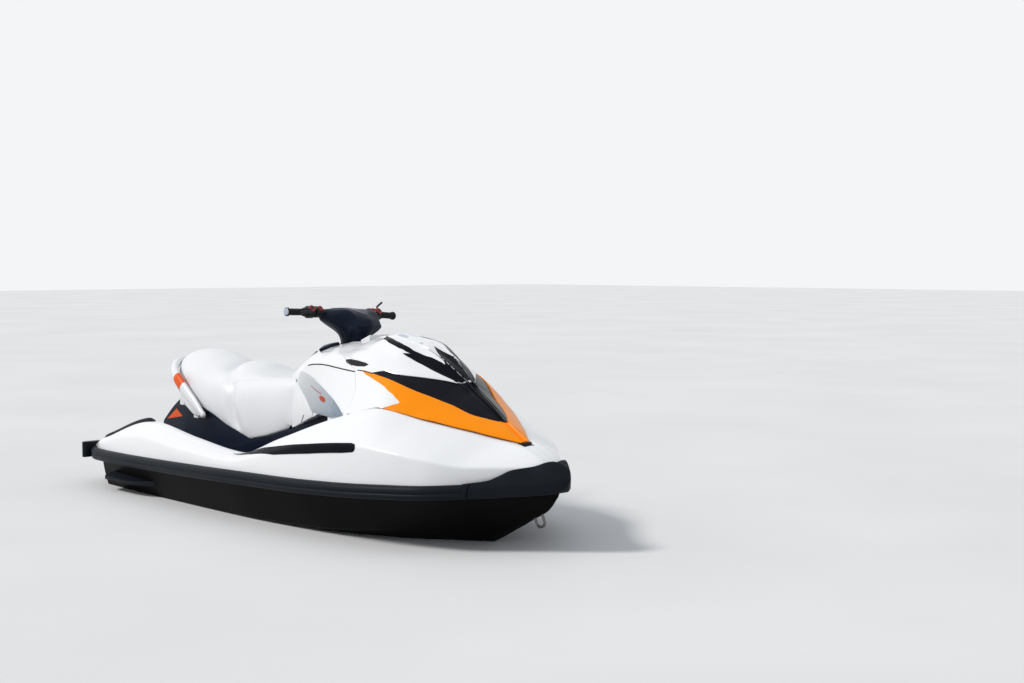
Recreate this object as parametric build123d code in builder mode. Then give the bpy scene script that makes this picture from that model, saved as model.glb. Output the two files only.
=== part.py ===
from build123d import *
import math
import os
from collections import namedtuple

# Personal watercraft with a black hull, a white deck, an orange, black and white hood that lifts as a lid,
# a long seat that tilts up off its pedestal, tilted steering, and a water jet with a steered nozzle and a
# reverse bucket. Millimetres. X runs forward, Y to port, Z up, and Z = 0 is the waterline.

os.makedirs("parts", exist_ok=True)

# Clearances
SEAT_GAP = 0.3        # a still piece that rests on another
MOVE_GAP = 5.0        # a piece that moves beside another
PIN_GAP = 0.3         # a pin in its eye
SEAM_GAP_X, SEAM_GAP_Z = 5.2, 3.5  # the hood's rear seam, which keeps MOVE_GAP across its slant

# Overall size. The tables below are drawn at DRAWN_LENGTH and DRAWN_BEAM, and stretched to this size.
LENGTH, BEAM = 3368.0, 1228.0
DRAWN_LENGTH, DRAWN_BEAM = 3368.0, 1228.0


def along(x):
    """A place along the drawn length, moved to this length."""
    return x * LENGTH / DRAWN_LENGTH


def across(y):
    """A place across the drawn beam, moved to this beam."""
    return y * BEAM / DRAWN_BEAM


def side_view(points):
    """Pairs of x and z, in this length."""
    return [(along(x), z) for x, z in points]


def stretched(rows):
    """A table's rows in this size: x lies along, and y and half widths lie across."""
    ways = {name: across if name == "half" or name.endswith("_y") else float for name in rows[0]._fields}
    ways["x"] = along
    return [type(row)(*[ways[name](value) for name, value in zip(row._fields, row)]) for row in rows]


# Overall shape
BOW_X, STERN_X = LENGTH / 2, -LENGTH / 2
TRANSOM_X = along(-1480.0)
FAR_Y = BEAM          # beyond either side, for shapes that only cut
FAR_Z = 900.0         # above everything
HULL_TOP_DROP = 30.0  # hull to deck joint, under the top of the rub rail
RAIL_INSET = 36.0     # from the outside of the rub rail to the side of hull and deck
RAIL_HEIGHT = 62.0
RAIL_CHAMFER = 8.0
RAIL_FRONT_X = along(1350.0)

# Deck and footwells
PLATFORM_Z = 205.0
FLOOR_Z = 70.0
TUB_WALL = 8.0
WELL_RAMP_X = along(-1150.0)
WELL_FLOOR_X = along(-950.0)
WELL_FRONT_X = along(430.0)
WELL_FOOT_X = WELL_FRONT_X - 80.0  # where the floor turns up to the console
WELL_FOOT_Z = 230.0
GUNWALE_WALL = 42.0
PEDESTAL_HALF = across(215.0)
MAT = 6.0
MAT_MARGIN = 12.0

# Engine bay and engine block
BAY_AFT_X, BAY_FRONT_X = along(-800.0), along(-80.0)
BAY_HALF = 150.0
BAY_FLOOR_Z = -50.0
ENGINE_LENGTH, ENGINE_WIDTH, ENGINE_HEIGHT = 540.0, 240.0, 330.0
ENGINE_X = along(-390.0)

# Storage bin under the hood
BIN_AFT_X, BIN_FRONT_X = along(640.0), along(1100.0)
BIN_HALF_AFT, BIN_HALF_FRONT = across(250.0), across(130.0)
BIN_FLOOR_Z, BIN_TOP_Z = 290.0, 528.0
BIN_WALL = 6.0
BIN_GAP = 1.0         # between bin and deck, sideways

# Hood
HOOD_WALL = 40.0
HINGE_X, HINGE_Z = along(1432.0), 442.0
HINGE_PIN_R = 4.0
HINGE_EYE_R = 9.0
HINGE_HALF = 22.0
HINGE_POCKET = 8.0
HINGE_LUG = 28.0
HINGE_BITE = 2.0      # how far the hinge pin goes into the deck at each end

# Seat
SEAT_SIDE_GAP = 7.0   # sideways, which keeps MOVE_GAP square to the console's slanted sides

# Glovebox lid, on the slope of the console that faces the rider
LID_TOP_X, LID_TOP_Z = along(-48.0), 791.0
LID_SLOPE = math.degrees(math.atan2(132.2, along(220.0)))
LID_LENGTH = 122.0
LID_HALF = 50.0
LID_THICK = 10.0
BOX_DEPTH = 95.0
BOX_MARGIN = 10.0

# Steering
STEER_X, STEER_Z = along(212.0), 850.0  # where the steering axis meets the top of the console
STEER_TILT = 18.0     # degrees that the axis leans aft from upright
STEER_REST = 10.0     # degrees to port that the bars stand turned
WELL_R, WELL_DEPTH = 92.0, 26.0
COLUMN_R, COLUMN_LENGTH = 19.0, 90.0
COLUMN_TOP = 158.0
BAR_R = 11.0
GRIP_R = 16.5
GRIP_LENGTH = 112.0
GRIP_END, GRIP_END_R = 8.0, 21.5    # how far the grip reaches past the bar, and its end's radius
GRIP_FLANGE = 7.0
POD_R, POD_LENGTH = 25.0, 44.0
BAR_GAP = 0.2

# Water jet
JET_Z = -10.0
RING_R, BORE_R = 94.0, 79.0
RING_AFT_X, RING_FRONT_X = TRANSOM_X + 40.0, TRANSOM_X + 220.0
FLANGE = 10.0
TUNNEL_HALF, TUNNEL_TOP_Z = 125.0, 112.0
DUCT_HALF = 75.0
IMPELLER_X, IMPELLER_LENGTH, IMPELLER_HUB_R = TRANSOM_X + 140.0, 60.0, 28.0
BLADES, BLADE_THICK, BLADE_PITCH = 4, 6.0, 32.0
VANES, VANE_THICK = 7, 5.0
SHAFT_R = 12.0
SHAFT_SEAT = 20.0     # how far the housing's hub holds the shaft
VENTURI_R, VENTURI_BORE_R = 50.0, 43.0
VENTURI_STRAIGHT_X, VENTURI_AFT_X = TRANSOM_X - 10.0, TRANSOM_X - 60.0
PIVOT_X = TRANSOM_X - 70.0
NOZZLE_FRONT_X, NOZZLE_AFT_X = PIVOT_X + 22.0, PIVOT_X - 100.0
NOZZLE_TAPER_X = PIVOT_X - 24.0
NOZZLE_R, NOZZLE_BORE_R = 75.0, 68.0
NOZZLE_TIP_R, NOZZLE_TIP_BORE_R = 56.0, 49.0
NOZZLE_RATIO = 0.65   # turn of the nozzle, the other way, for a turn of the bars
PIVOT_PIN_R = 6.0
BOSS_R = 14.0
BOSS_TOP = 81.0       # from the jet's axis to the top of a nozzle boss
EAR = 10.0
BUCKET_R, BUCKET_WALL = 138.0, 6.0
BUCKET_HALF = 99.0
BUCKET_LOW, BUCKET_HIGH = 22.0, 96.0  # degrees above straight aft that the stowed bucket spans
BUCKET_PIN_R = 7.0
PLATE_Z, PLATE_THICK = -125.0, 11.0

Station = namedtuple("Station", "x rail_y rail_z knuckle_y knuckle_z edge_y edge_z")
STATIONS = stretched([
    Station(-1640, 470, 200, 432, 212, 415, 222),
    Station(-1480, 530, 205, 492, 245, 452, 268),
    Station(-950, 589, 221, 540, 320, 470, 393),
    Station(-500, 607, 234, 565, 300, 488, 348),
    Station(-80, 614, 247, 572, 290, 498, 316),
    Station(250, 610, 256, 562, 350, 478, 415),
    Station(500, 598, 262, 548, 405, 448, 500),
    Station(640, 586, 267, 538, 425, 392, 548),
    Station(850, 556, 275, 512, 440, 370, 592),
    Station(1050, 507, 285, 470, 425, 278, 545),
    Station(1200, 448, 291, 404, 400, 184, 508),
    Station(1350, 314, 300, 282, 372, 84, 468),
    Station(1470, 199, 314, 168, 372, 58, 440),
    Station(1560, 116, 338, 84, 372, 44, 400),
    Station(1612, 66, 345, 34, 352, 22, 358),
])

Bottom = namedtuple("Bottom", "x keel_z pad_y pad_z chine_y chine_z")
BOTTOMS = stretched([
    Bottom(-1640, -130, 140, -119, 440, 0),
    Bottom(-950, -130, 140, -119, 472, 5),
    Bottom(-80, -130, 110, -104, 482, 12),
    Bottom(500, -126, 60, -104, 452, 28),
    Bottom(850, -102, 40, -88, 395, 60),
    Bottom(1050, -60, 36, -46, 330, 95),
    Bottom(1200, -10, 32, 4, 260, 130),
    Bottom(1350, 65, 28, 78, 165, 170),
    Bottom(1470, 130, 20, 140, 95, 200),
    Bottom(1560, 180, 12, 188, 48, 225),
    Bottom(1612, 240, 6, 246, 18, 264),
])

# Upper body: foot of its skirt, lower edge, parting line, cowl edge, shoulder and ridge
Upper = namedtuple("Upper", "x skirt_y low_y low_z part_y part_z cowl_y cowl_z shoulder_y shoulder_z top_z")
UPPER = stretched([
    Upper(-262, 62, 62, 620, 56, 640, 48, 652, 36, 672, 676),
    Upper(-40, 232, 172, 600, 165, 690, 150, 740, 100, 798, 808),
    Upper(120, 246, 225, 560, 222, 742, 205, 772, 130, 830, 850),
    Upper(300, 292, 290, 550, 258, 757, 240, 785, 140, 850, 862),
    Upper(480, 345, 345, 550, 270, 757, 250, 790, 140, 876, 890),
    Upper(660, 378, 378, 556, 272, 742, 250, 780, 135, 886, 910),
    Upper(850, 362, 362, 600, 258, 712, 215, 738, 125, 822, 868),
    Upper(960, 320, 320, 580, 205, 668, 150, 700, 95, 775, 800),
    Upper(1050, 270, 270, 555, 152, 630, 60, 668, 30, 690, 705),
    Upper(1150, 208, 208, 530, 95, 592, 50, 610, 25, 620, 625),
    Upper(1276, 126, 126, 500, 30, 540, 20, 542, 10, 544, 545),
    Upper(1418, 24, 24, 460, 14, 464, 10, 465, 6, 466, 467),
])
SKIRT_Z = 300.0

# Where the hood meets the body, in side view from the ridge down
HOOD_SEAM = side_view([(430, 1000), (430, 800), (572, 748), (640, 660), (640, 300)])
# Orange band to black insert, and black insert to white cowl, in side view
BAND_LINE = side_view([(380, 757), (660, 742), (850, 712), (960, 668), (1050, 630), (1150, 592), (1276, 540),
                       (1500, 452)])
COWL_LINE = side_view([(380, 770), (660, 756), (850, 734), (960, 700), (1030, 672), (1060, 760),
                       (1060, 1100)])

# Seat, from stern to bow
SeatRow = namedtuple("SeatRow", "x base_y shoulder_y shoulder_z top_z")
SEAT_ROWS = stretched([
    SeatRow(-1282, 66, 50, 676, 690),
    SeatRow(-1240, 116, 84, 690, 716),
    SeatRow(-1155, 182, 130, 712, 756),
    SeatRow(-1060, 226, 160, 728, 776),
    SeatRow(-950, 240, 165, 736, 784),
    SeatRow(-850, 241, 172, 742, 776),
    SeatRow(-760, 240, 165, 722, 750),
    SeatRow(-640, 240, 155, 690, 718),
    SeatRow(-506, 240, 160, 696, 728),
    SeatRow(-424, 240, 158, 690, 722),
    SeatRow(-342, 238, 150, 672, 704),
    SeatRow(-250, 236, 145, 645, 672),
    SeatRow(-140, 238, 155, 640, 660),
    SeatRow(-24, 242, 178, 650, 662),
])

# Top of the seat pedestal in side view, from stern to bow
PEDESTAL_TOP = side_view([
    (-1275, 215), (-1262, 345), (-1181, 415), (-1083, 480), (-1029, 512), (-935, 482), (-739, 430),
    (-612, 385), (-395, 330), (-239, 360), (-18, 420), (152, 478), (300, 520), (430, 520),
])
PEDESTAL_AFT_X = PEDESTAL_TOP[0][0]

# Underside of the seat aft of the pedestal's crest, and the prop below it
SEAT_TAIL = side_view([(-1029, 512), (-1110, 562), (-1290, 668)])
TAIL_PROP = side_view([(-1029, 512), (-1110, 562), (-1215, 623.8), (-1190, 409)])
TAIL_PROP_HALF = 100.0

# Grab handle, starboard side, from its foot to the middle of the crossbar
HANDLE_ROUTE = [(along(x), across(y), z) for x, y, z in [
    (-775, -264, 412), (-880, -264, 480), (-1034, -262, 566), (-1128, -246, 652), (-1235, -160, 678),
    (-1316, -50, 686)]]
HANDLE_R = 16.0
HANDLE_BEND = 40.0
HANDLE_WEB = side_view([(-760, 396), (-790, 432), (-880, 486), (-1034, 566), (-1100, 620), (-1075, 540),
                        (-1030, 480), (-944, 424), (-880, 396)])
WEB_THICK = 14.0
# Pads between the web and the pedestal: x and z of two corners
HANDLE_PADS = [((-880, 398), (-800, 426)), ((-1010, 440), (-950, 472))]

# Bars, port side, from the middle outwards, in the frame of the steering axis
BAR_ROUTE = [(0, 0, COLUMN_TOP), (0, 105, COLUMN_TOP), (-36, 205, 158), (-48, 382, 158)]
BAR_BEND = 40.0


def between(rows, x):
    """A row of a table at any x, in between as well."""
    for a, b in zip(rows, rows[1:]):
        if a.x <= x <= b.x:
            t = (x - a.x) / (b.x - a.x)
            return type(a)(*[p + t * (q - p) for p, q in zip(a, b)])
    return rows[0] if x < rows[0].x else rows[-1]


def mirrored(half):
    """A closed outline from its points on the port side, listed from the bottom up."""
    return list(half) + [(-y, z) for y, z in reversed(half) if y > 0]


def lofted(sections):
    """A ruled body through outlines in the YZ plane: pairs of x and points."""
    with BuildPart() as body:
        for x, points in sections:
            with BuildSketch(Plane.YZ.offset(x)):
                with BuildLine():
                    Polyline(*points, close=True)
                make_face()
        loft(ruled=True)
    return body.part


def side_prism(points, low_y, high_y):
    """A prism whose outline is drawn in side view, as pairs of x and z."""
    with BuildPart() as prism:
        with BuildSketch(Plane.XZ.offset(-low_y)):
            with BuildLine():
                Polyline(*points, close=True)
            make_face()
        extrude(amount=-(high_y - low_y))
    return prism.part


def plan_prism(points, low_z, high_z):
    """A prism whose outline is drawn in plan, as pairs of x and y."""
    with BuildPart() as prism:
        with BuildSketch(Plane.XY.offset(low_z)):
            with BuildLine():
                Polyline(*points, close=True)
            make_face()
        extrude(amount=high_z - low_z)
    return prism.part


def block(low, high):
    """A box between two corners."""
    size = [b - a for a, b in zip(low, high)]
    middle = tuple((a + b) / 2 for a, b in zip(low, high))
    with BuildPart() as cube:
        with Locations(middle):
            Box(*size)
    return cube.part


def both_ways(points):
    """A plan outline that is symmetric about the keel, from its points on the port side."""
    return list(points) + [(x, -y) for x, y in reversed(points)]


def save(part, name):
    part.label = name
    export_step(part, f"parts/{name}.step")


def save_sides(part, name):
    """Writes the starboard and port halves of a pair."""
    starboard = part & block((-LENGTH, -LENGTH, -LENGTH), (LENGTH, 0, LENGTH))
    port = part & block((-LENGTH, 0, -LENGTH), (LENGTH, LENGTH, LENGTH))
    save(starboard, f"{name}_right")
    save(port, f"{name}_left")


# Outer hull
hull_sections = []
for s in STATIONS:
    if s.x >= TRANSOM_X:
        b = between(BOTTOMS, s.x)
        side_y = s.rail_y - RAIL_INSET
        hull_sections.append((s.x, mirrored([
            (0, b.keel_z),
            (b.pad_y, b.pad_z),
            (b.chine_y, b.chine_z),
            (side_y - 14, s.rail_z - RAIL_HEIGHT),
            (side_y, s.rail_z - HULL_TOP_DROP),
        ])))
hull_shape = lofted(hull_sections)

# Outer deck
deck_shape = lofted([(s.x, mirrored([
    (s.rail_y - RAIL_INSET, s.rail_z - HULL_TOP_DROP),
    (s.rail_y - RAIL_INSET, s.rail_z),
    (s.knuckle_y, s.knuckle_z),
    (s.edge_y, s.edge_z),
])) for s in STATIONS])

# Footwells: the space between the gunwales, over the platform, its ramp and the floor
FLOOR_LINE = [(STERN_X, PLATFORM_Z), (WELL_RAMP_X, PLATFORM_Z), (WELL_FLOOR_X, FLOOR_Z),
              (WELL_FOOT_X, FLOOR_Z), (WELL_FRONT_X, WELL_FOOT_Z), (WELL_FRONT_X, FAR_Z), (STERN_X, FAR_Z)]
TUB_AFT_X = TRANSOM_X + 80.0
TUB_DROP = 60.0       # from the platform to the tub's floor under it
TUB_FRONT_X = WELL_FRONT_X + TUB_WALL
TUB_LINE = [(TUB_AFT_X, PLATFORM_Z - TUB_DROP), (WELL_RAMP_X, PLATFORM_Z - TUB_DROP),
            (WELL_FLOOR_X, FLOOR_Z - TUB_WALL), (WELL_FOOT_X + 10, FLOOR_Z - TUB_WALL),
            (TUB_FRONT_X, WELL_FOOT_Z - 5), (TUB_FRONT_X, FAR_Z), (TUB_AFT_X, FAR_Z)]


def well_outline(aft_x, front_x, grow):
    """The plan of the space between the gunwales."""
    xs = [aft_x] + [s.x for s in STATIONS if aft_x < s.x < front_x] + [front_x]
    return both_ways([(x, between(STATIONS, x).edge_y - GUNWALE_WALL + grow) for x in xs])


well = side_prism(FLOOR_LINE, -FAR_Y, FAR_Y) & plan_prism(well_outline(STERN_X, WELL_FRONT_X, 0), 0, FAR_Z)
tub_plan = plan_prism(well_outline(TUB_AFT_X, TUB_FRONT_X, TUB_WALL), 0, FAR_Z)
tub = side_prism(TUB_LINE, -FAR_Y, FAR_Y) & tub_plan
bay = block((BAY_AFT_X, -BAY_HALF, BAY_FLOOR_Z), (BAY_FRONT_X, BAY_HALF, FAR_Z))

bin_outline = both_ways([(BIN_AFT_X, BIN_HALF_AFT), (BIN_FRONT_X, BIN_HALF_FRONT)])
bin_pocket = plan_prism(bin_outline, BIN_FLOOR_Z, FAR_Z)

# Pump tunnel in the hull, and ahead of it the housing of the intake duct, let into the hull from below
TUNNEL_FRONT_X = RING_FRONT_X + FLANGE
tunnel = block((TRANSOM_X - 10, -TUNNEL_HALF, -140), (TUNNEL_FRONT_X, TUNNEL_HALF, TUNNEL_TOP_Z))
HOUSING_HALF = DUCT_HALF + 20
HOUSING_FOOT_Z, HOUSING_TOP_Z, HOUSING_FRONT_Z = -119.0, 84.0, FLOOR_Z - TUB_WALL - 14


def housing_shape(grow, foot_z):
    """The duct's housing, or with grow the space for it in the hull."""
    return side_prism([(TUNNEL_FRONT_X, foot_z), (TUNNEL_FRONT_X, HOUSING_TOP_Z + grow),
                       (along(-1110), HOUSING_TOP_Z + grow), (WELL_FLOOR_X, HOUSING_FRONT_Z + grow),
                       (BAY_AFT_X, HOUSING_FRONT_Z + grow), (BAY_AFT_X, foot_z)],
                      -HOUSING_HALF - grow, HOUSING_HALF + grow)


DUCT_AFT_X = RING_FRONT_X + 8.0
MOUTH_AFT_X, MOUTH_FRONT_X = DUCT_AFT_X + 67.0, along(-860.0)
DUCT_LINE = [(DUCT_AFT_X, 60), (along(-1130), 45), (MOUTH_FRONT_X, -95), (MOUTH_FRONT_X, -140),
             (MOUTH_AFT_X, -140), (MOUTH_AFT_X, -85), (DUCT_AFT_X, -85)]
duct = side_prism(DUCT_LINE, -DUCT_HALF, DUCT_HALF)
with BuildPart() as shaft_bore:
    with BuildSketch(Plane.YZ.offset(RING_FRONT_X)):
        with Locations((0, JET_Z)):
            Circle(SHAFT_R + PIN_GAP)
    extrude(amount=BAY_AFT_X + 20 - RING_FRONT_X)

DRAIN_Y, DRAIN_Z, DRAIN_R = across(210.0), 20.0, 14.0
FLUSH_Y, FLUSH_Z, FLUSH_R, FLUSH_DEPTH = across(-300.0), 120.0, 13.0, 40.0
with BuildPart() as transom_holes:
    with BuildSketch(Plane.YZ.offset(TRANSOM_X)):
        with Locations((DRAIN_Y, DRAIN_Z), (-DRAIN_Y, DRAIN_Z)):
            Circle(DRAIN_R)
        with Locations((FLUSH_Y, FLUSH_Z)):
            Circle(FLUSH_R)
    extrude(amount=FLUSH_DEPTH)

with BuildPart() as hull:
    add(hull_shape)
    add(tub, mode=Mode.SUBTRACT)
    add(bay, mode=Mode.SUBTRACT)
    add(tunnel, mode=Mode.SUBTRACT)
    add(housing_shape(SEAT_GAP, -200), mode=Mode.SUBTRACT)
    add(transom_holes.part, mode=Mode.SUBTRACT)
save(hull.part, "hull")

with BuildPart() as intake_duct:
    add(housing_shape(0, HOUSING_FOOT_Z))
    add(duct, mode=Mode.SUBTRACT)
    add(shaft_bore.part, mode=Mode.SUBTRACT)
save(intake_duct.part, "intake_duct")

# Hood hinge pocket and pin, at the nose of the deck
POCKET_HALF = HINGE_HALF + HINGE_POCKET
hinge_pocket = block((HINGE_X - HINGE_LUG - HINGE_POCKET, -POCKET_HALF, HINGE_Z - HINGE_EYE_R - 9),
                     (HINGE_X + HINGE_EYE_R + HINGE_POCKET, POCKET_HALF, FAR_Z))
with BuildPart() as hinge_pin:
    with BuildSketch(Plane.XZ.offset(-POCKET_HALF - HINGE_BITE)):
        with Locations((HINGE_X, HINGE_Z)):
            Circle(HINGE_PIN_R)
    extrude(amount=2 * (POCKET_HALF + HINGE_BITE))

with BuildPart() as deck:
    add(deck_shape)
    add(tub & hull_shape)
    add(well, mode=Mode.SUBTRACT)
    add(bay, mode=Mode.SUBTRACT)
    add(bin_pocket, mode=Mode.SUBTRACT)
    add(hinge_pocket, mode=Mode.SUBTRACT)
    add(hinge_pin.part & deck_shape)
save(deck.part, "deck")

# Rub rails
rail_shape = lofted([(s.x, [
    (s.rail_y - RAIL_INSET - 14, s.rail_z - RAIL_HEIGHT),
    (s.rail_y - RAIL_CHAMFER, s.rail_z - RAIL_HEIGHT),
    (s.rail_y, s.rail_z - RAIL_HEIGHT + RAIL_CHAMFER),
    (s.rail_y, s.rail_z - 2 * RAIL_CHAMFER),
    (s.rail_y - 2 * RAIL_CHAMFER, s.rail_z),
    (s.rail_y - RAIL_INSET, s.rail_z),
    (s.rail_y - RAIL_INSET, s.rail_z - HULL_TOP_DROP),
]) for s in STATIONS if s.x <= RAIL_FRONT_X])
save(rail_shape, "side_rail_left")
save(mirror(rail_shape, about=Plane.XZ), "side_rail_right")

# Bow bumper, wrapped round the nose of hull and deck
Nose = namedtuple("Nose", "x half low_z high_z")
NOSE = stretched([
    Nose(1350, 316, 238, 300),
    Nose(1470, 202, 242, 326),
    Nose(1560, 118, 236, 380),
    Nose(1612, 70, 246, 382),
    Nose(1664, 30, 278, 372),
    Nose(1684, 12, 298, 360),
])
with BuildPart() as bow_bumper:
    add(lofted([(n.x, mirrored([
        (n.half - 12, n.low_z),
        (n.half, n.low_z + 14),
        (n.half, n.high_z - 18),
        (n.half - 14, n.high_z),
    ])) for n in NOSE]))
    add(deck_shape, mode=Mode.SUBTRACT)
    add(hull_shape, mode=Mode.SUBTRACT)
save(bow_bumper.part, "bow_bumper")

# Stern bumpers, one at each corner of the platform
BUMPER_INNER, BUMPER_OUTER = across(330.0), across(512.0)
BUMPER_LOW, BUMPER_HIGH = 140.0, 230.0
with BuildPart() as stern_bumpers:
    for y in (BUMPER_INNER, -BUMPER_OUTER):
        with BuildSketch(Plane.XZ.offset(-y)):
            with BuildLine():
                Polyline((STATIONS[0].x, BUMPER_LOW), (STERN_X + 14, BUMPER_LOW), (STERN_X, BUMPER_LOW + 16),
                         (STERN_X, BUMPER_HIGH - 20), (STERN_X + 16, BUMPER_HIGH),
                         (STATIONS[0].x, BUMPER_HIGH), close=True)
            make_face()
        extrude(amount=-(BUMPER_OUTER - BUMPER_INNER))
save_sides(stern_bumpers.part, "stern_bumper")

# Sponsons, low on the sides near the stern
SPONSON_LINE = [(along(-1330), across(560)), (along(-820), across(574))]
SPONSON_LOW, SPONSON_HIGH = 62.0, 92.0
with BuildPart() as sponsons:
    add(plan_prism(both_ways(SPONSON_LINE), SPONSON_LOW, SPONSON_HIGH))
    add(hull_shape, mode=Mode.SUBTRACT)
save_sides(sponsons.part, "sponson")

# Mats on the footwell floors and on the boarding platform
mat_half = between(STATIONS, WELL_FLOOR_X).edge_y - GUNWALE_WALL - MAT_MARGIN
for side, name in ((1, "left"), (-1, "right")):
    low_y, high_y = sorted((side * (PEDESTAL_HALF + MAT_MARGIN), side * mat_half))
    mat = block((WELL_FLOOR_X + MAT_MARGIN, low_y, FLOOR_Z),
                (WELL_FOOT_X - MAT_MARGIN, high_y, FLOOR_Z + MAT))
    save(mat, f"footwell_mat_{name}")
board_aft_x, board_front_x = STATIONS[0].x + 10, PEDESTAL_AFT_X - 15
platform_half = between(STATIONS, board_aft_x + 10).edge_y - GUNWALE_WALL - MAT_MARGIN
boarding_mat = block((board_aft_x, -platform_half, PLATFORM_Z),
                     (board_front_x, platform_half, PLATFORM_Z + MAT))
save(boarding_mat, "boarding_mat")

# Seat pedestal, standing on platform, ramp and floor
with BuildPart() as seat_pedestal:
    add(side_prism(PEDESTAL_TOP + [(WELL_FRONT_X, FLOOR_Z), (PEDESTAL_AFT_X, FLOOR_Z)],
                   -PEDESTAL_HALF, PEDESTAL_HALF))
    add(well, mode=Mode.INTERSECT)
    add(bay, mode=Mode.SUBTRACT)
    add(side_prism(TAIL_PROP, -TAIL_PROP_HALF, TAIL_PROP_HALF))
save(seat_pedestal.part, "seat_pedestal")


def upper_shape(grow, skirt_z):
    """The body above the deck, from seat to nose, grown sideways and given a skirt down to skirt_z."""
    return lofted([(u.x, mirrored([
        (u.skirt_y + grow, skirt_z),
        (u.low_y + grow, u.low_z),
        (u.part_y + grow, u.part_z),
        (u.cowl_y + grow, u.cowl_z),
        (u.shoulder_y + grow, u.shoulder_z + grow),
        (0, u.top_z + grow),
    ])) for u in UPPER])


skirted = upper_shape(0, SKIRT_Z)
behind_hood = side_prism([(x - SEAM_GAP_X, z - SEAM_GAP_Z) for x, z in HOOD_SEAM]
                         + side_view([(-400, 290), (-400, 1000)]), -FAR_Y, FAR_Y)

# Steering axis
steer_up = Vector(-math.sin(math.radians(STEER_TILT)), 0, math.cos(math.radians(STEER_TILT)))
steer_plane = Plane(origin=(STEER_X, 0, STEER_Z), x_dir=(math.cos(math.radians(STEER_TILT)), 0,
                    math.sin(math.radians(STEER_TILT))), z_dir=steer_up)
with BuildPart() as steering_well:
    with BuildSketch(steer_plane.offset(-WELL_DEPTH)):
        Circle(WELL_R)
    extrude(amount=200)
    with BuildSketch(steer_plane.offset(-WELL_DEPTH - COLUMN_LENGTH)):
        Circle(COLUMN_R + PIN_GAP)
    extrude(amount=COLUMN_LENGTH + 10)

# Glovebox, in the frame of the console's slope: x down the slope, z out of it
slope = math.radians(LID_SLOPE)
lid_plane = Plane(origin=(LID_TOP_X, 0, LID_TOP_Z), x_dir=(-math.cos(slope), 0, -math.sin(slope)),
                  z_dir=(-math.sin(slope), 0, math.cos(slope)))


def on_slope(low, high):
    """A box between two corners in the frame of the slope."""
    with BuildPart() as cube:
        with BuildSketch(lid_plane.offset(low[2])):
            with Locations(((low[0] + high[0]) / 2, (low[1] + high[1]) / 2)):
                Rectangle(high[0] - low[0], high[1] - low[1])
        extrude(amount=high[2] - low[2])
    return cube.part


LID_PIN_R = 3.0
LID_EYE_R = 7.0
lid_rebate = on_slope((-LID_EYE_R - MOVE_GAP, -LID_HALF - MOVE_GAP, -LID_THICK - MOVE_GAP),
                      (LID_LENGTH + MOVE_GAP, LID_HALF + MOVE_GAP, 60))
lid_box = on_slope((BOX_MARGIN, -LID_HALF + BOX_MARGIN, -BOX_DEPTH),
                   (LID_LENGTH - BOX_MARGIN, LID_HALF - BOX_MARGIN, 0))
lid_pin_z = -LID_THICK / 2


def lid_rod(radius, half):
    """A round bar along the glovebox lid's hinge."""
    centre = lid_plane.from_local_coords(Vector(0, 0, lid_pin_z))
    with BuildPart() as rod:
        with BuildSketch(Plane(origin=(centre.X, -half, centre.Z), x_dir=(1, 0, 0), z_dir=(0, 1, 0))):
            Circle(radius)
        extrude(amount=2 * half)
    return rod.part


# Console: the white body between seat and hood
GAUGE_X, GAUGE_LONG, GAUGE_HALF = along(372.0), 34.0, 60.0
GAUGE_LOW, GAUGE_FRONT_Z, GAUGE_AFT_Z = 838.0, 892.0, 866.0
gauge_seat = block((GAUGE_X - GAUGE_LONG - 6, -GAUGE_HALF - 10, GAUGE_LOW),
                   (GAUGE_X + GAUGE_LONG + 6, GAUGE_HALF + 10, 1000))
FIN_PROUD = 9.0
FIN_LINE = side_view([(-20, 700), (21, 704), (100, 705), (164, 697), (235, 678), (313, 655), (395, 628),
                      (479, 602), (548, 572), (597, 547), (529, 529), (474, 522), (216, 525), (172, 547),
                      (119, 583), (31, 630), (-20, 654)])
FIN_ROOT = [(along(-30), across(140)), (along(610), across(274))]
fin_plan = plan_prism([*FIN_ROOT, (FIN_ROOT[1][0], FAR_Y), (FIN_ROOT[0][0], FAR_Y)], SKIRT_Z, FAR_Z)
fin_space = side_prism(FIN_LINE, -FAR_Y, FAR_Y) & (fin_plan + mirror(fin_plan, about=Plane.XZ))
with BuildPart() as console:
    add(skirted)
    add(behind_hood, mode=Mode.INTERSECT)
    add(deck_shape - well, mode=Mode.SUBTRACT)
    add(tub & hull_shape, mode=Mode.SUBTRACT)
    add(side_prism(PEDESTAL_TOP + [(WELL_FRONT_X, 0), (PEDESTAL_AFT_X, 0)], -FAR_Y, FAR_Y),
        mode=Mode.SUBTRACT)
    add(block((BAY_AFT_X, -BAY_HALF, BAY_FLOOR_Z), (BAY_FRONT_X, BAY_HALF, 560)), mode=Mode.SUBTRACT)
    add(steering_well.part, mode=Mode.SUBTRACT)
    add(lid_rebate, mode=Mode.SUBTRACT)
    add(lid_box, mode=Mode.SUBTRACT)
    add(gauge_seat, mode=Mode.SUBTRACT)
    add(fin_space, mode=Mode.SUBTRACT)
    add(lid_rod(LID_PIN_R, LID_HALF + MOVE_GAP + 1))
save(console.part, "console")

# Silver-grey fins, let into the console's sides ahead of the seat
with BuildPart() as fins:
    add(upper_shape(FIN_PROUD, SKIRT_Z))
    add(fin_space, mode=Mode.INTERSECT)
save_sides(fins.part, "console_fin")

# Glovebox lid and its hinge eye
with BuildPart() as glovebox_lid:
    add(on_slope((LID_EYE_R + 2, -LID_HALF, -LID_THICK), (LID_LENGTH, LID_HALF, 0)))
    add(on_slope((0, -LID_HALF, -LID_THICK + 1), (LID_EYE_R + 4, LID_HALF, -1)))
    add(lid_rod(LID_EYE_R, LID_HALF))
    add(lid_rod(LID_PIN_R + PIN_GAP, LID_HALF + 1), mode=Mode.SUBTRACT)
save(glovebox_lid.part, "glovebox_lid")

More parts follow.
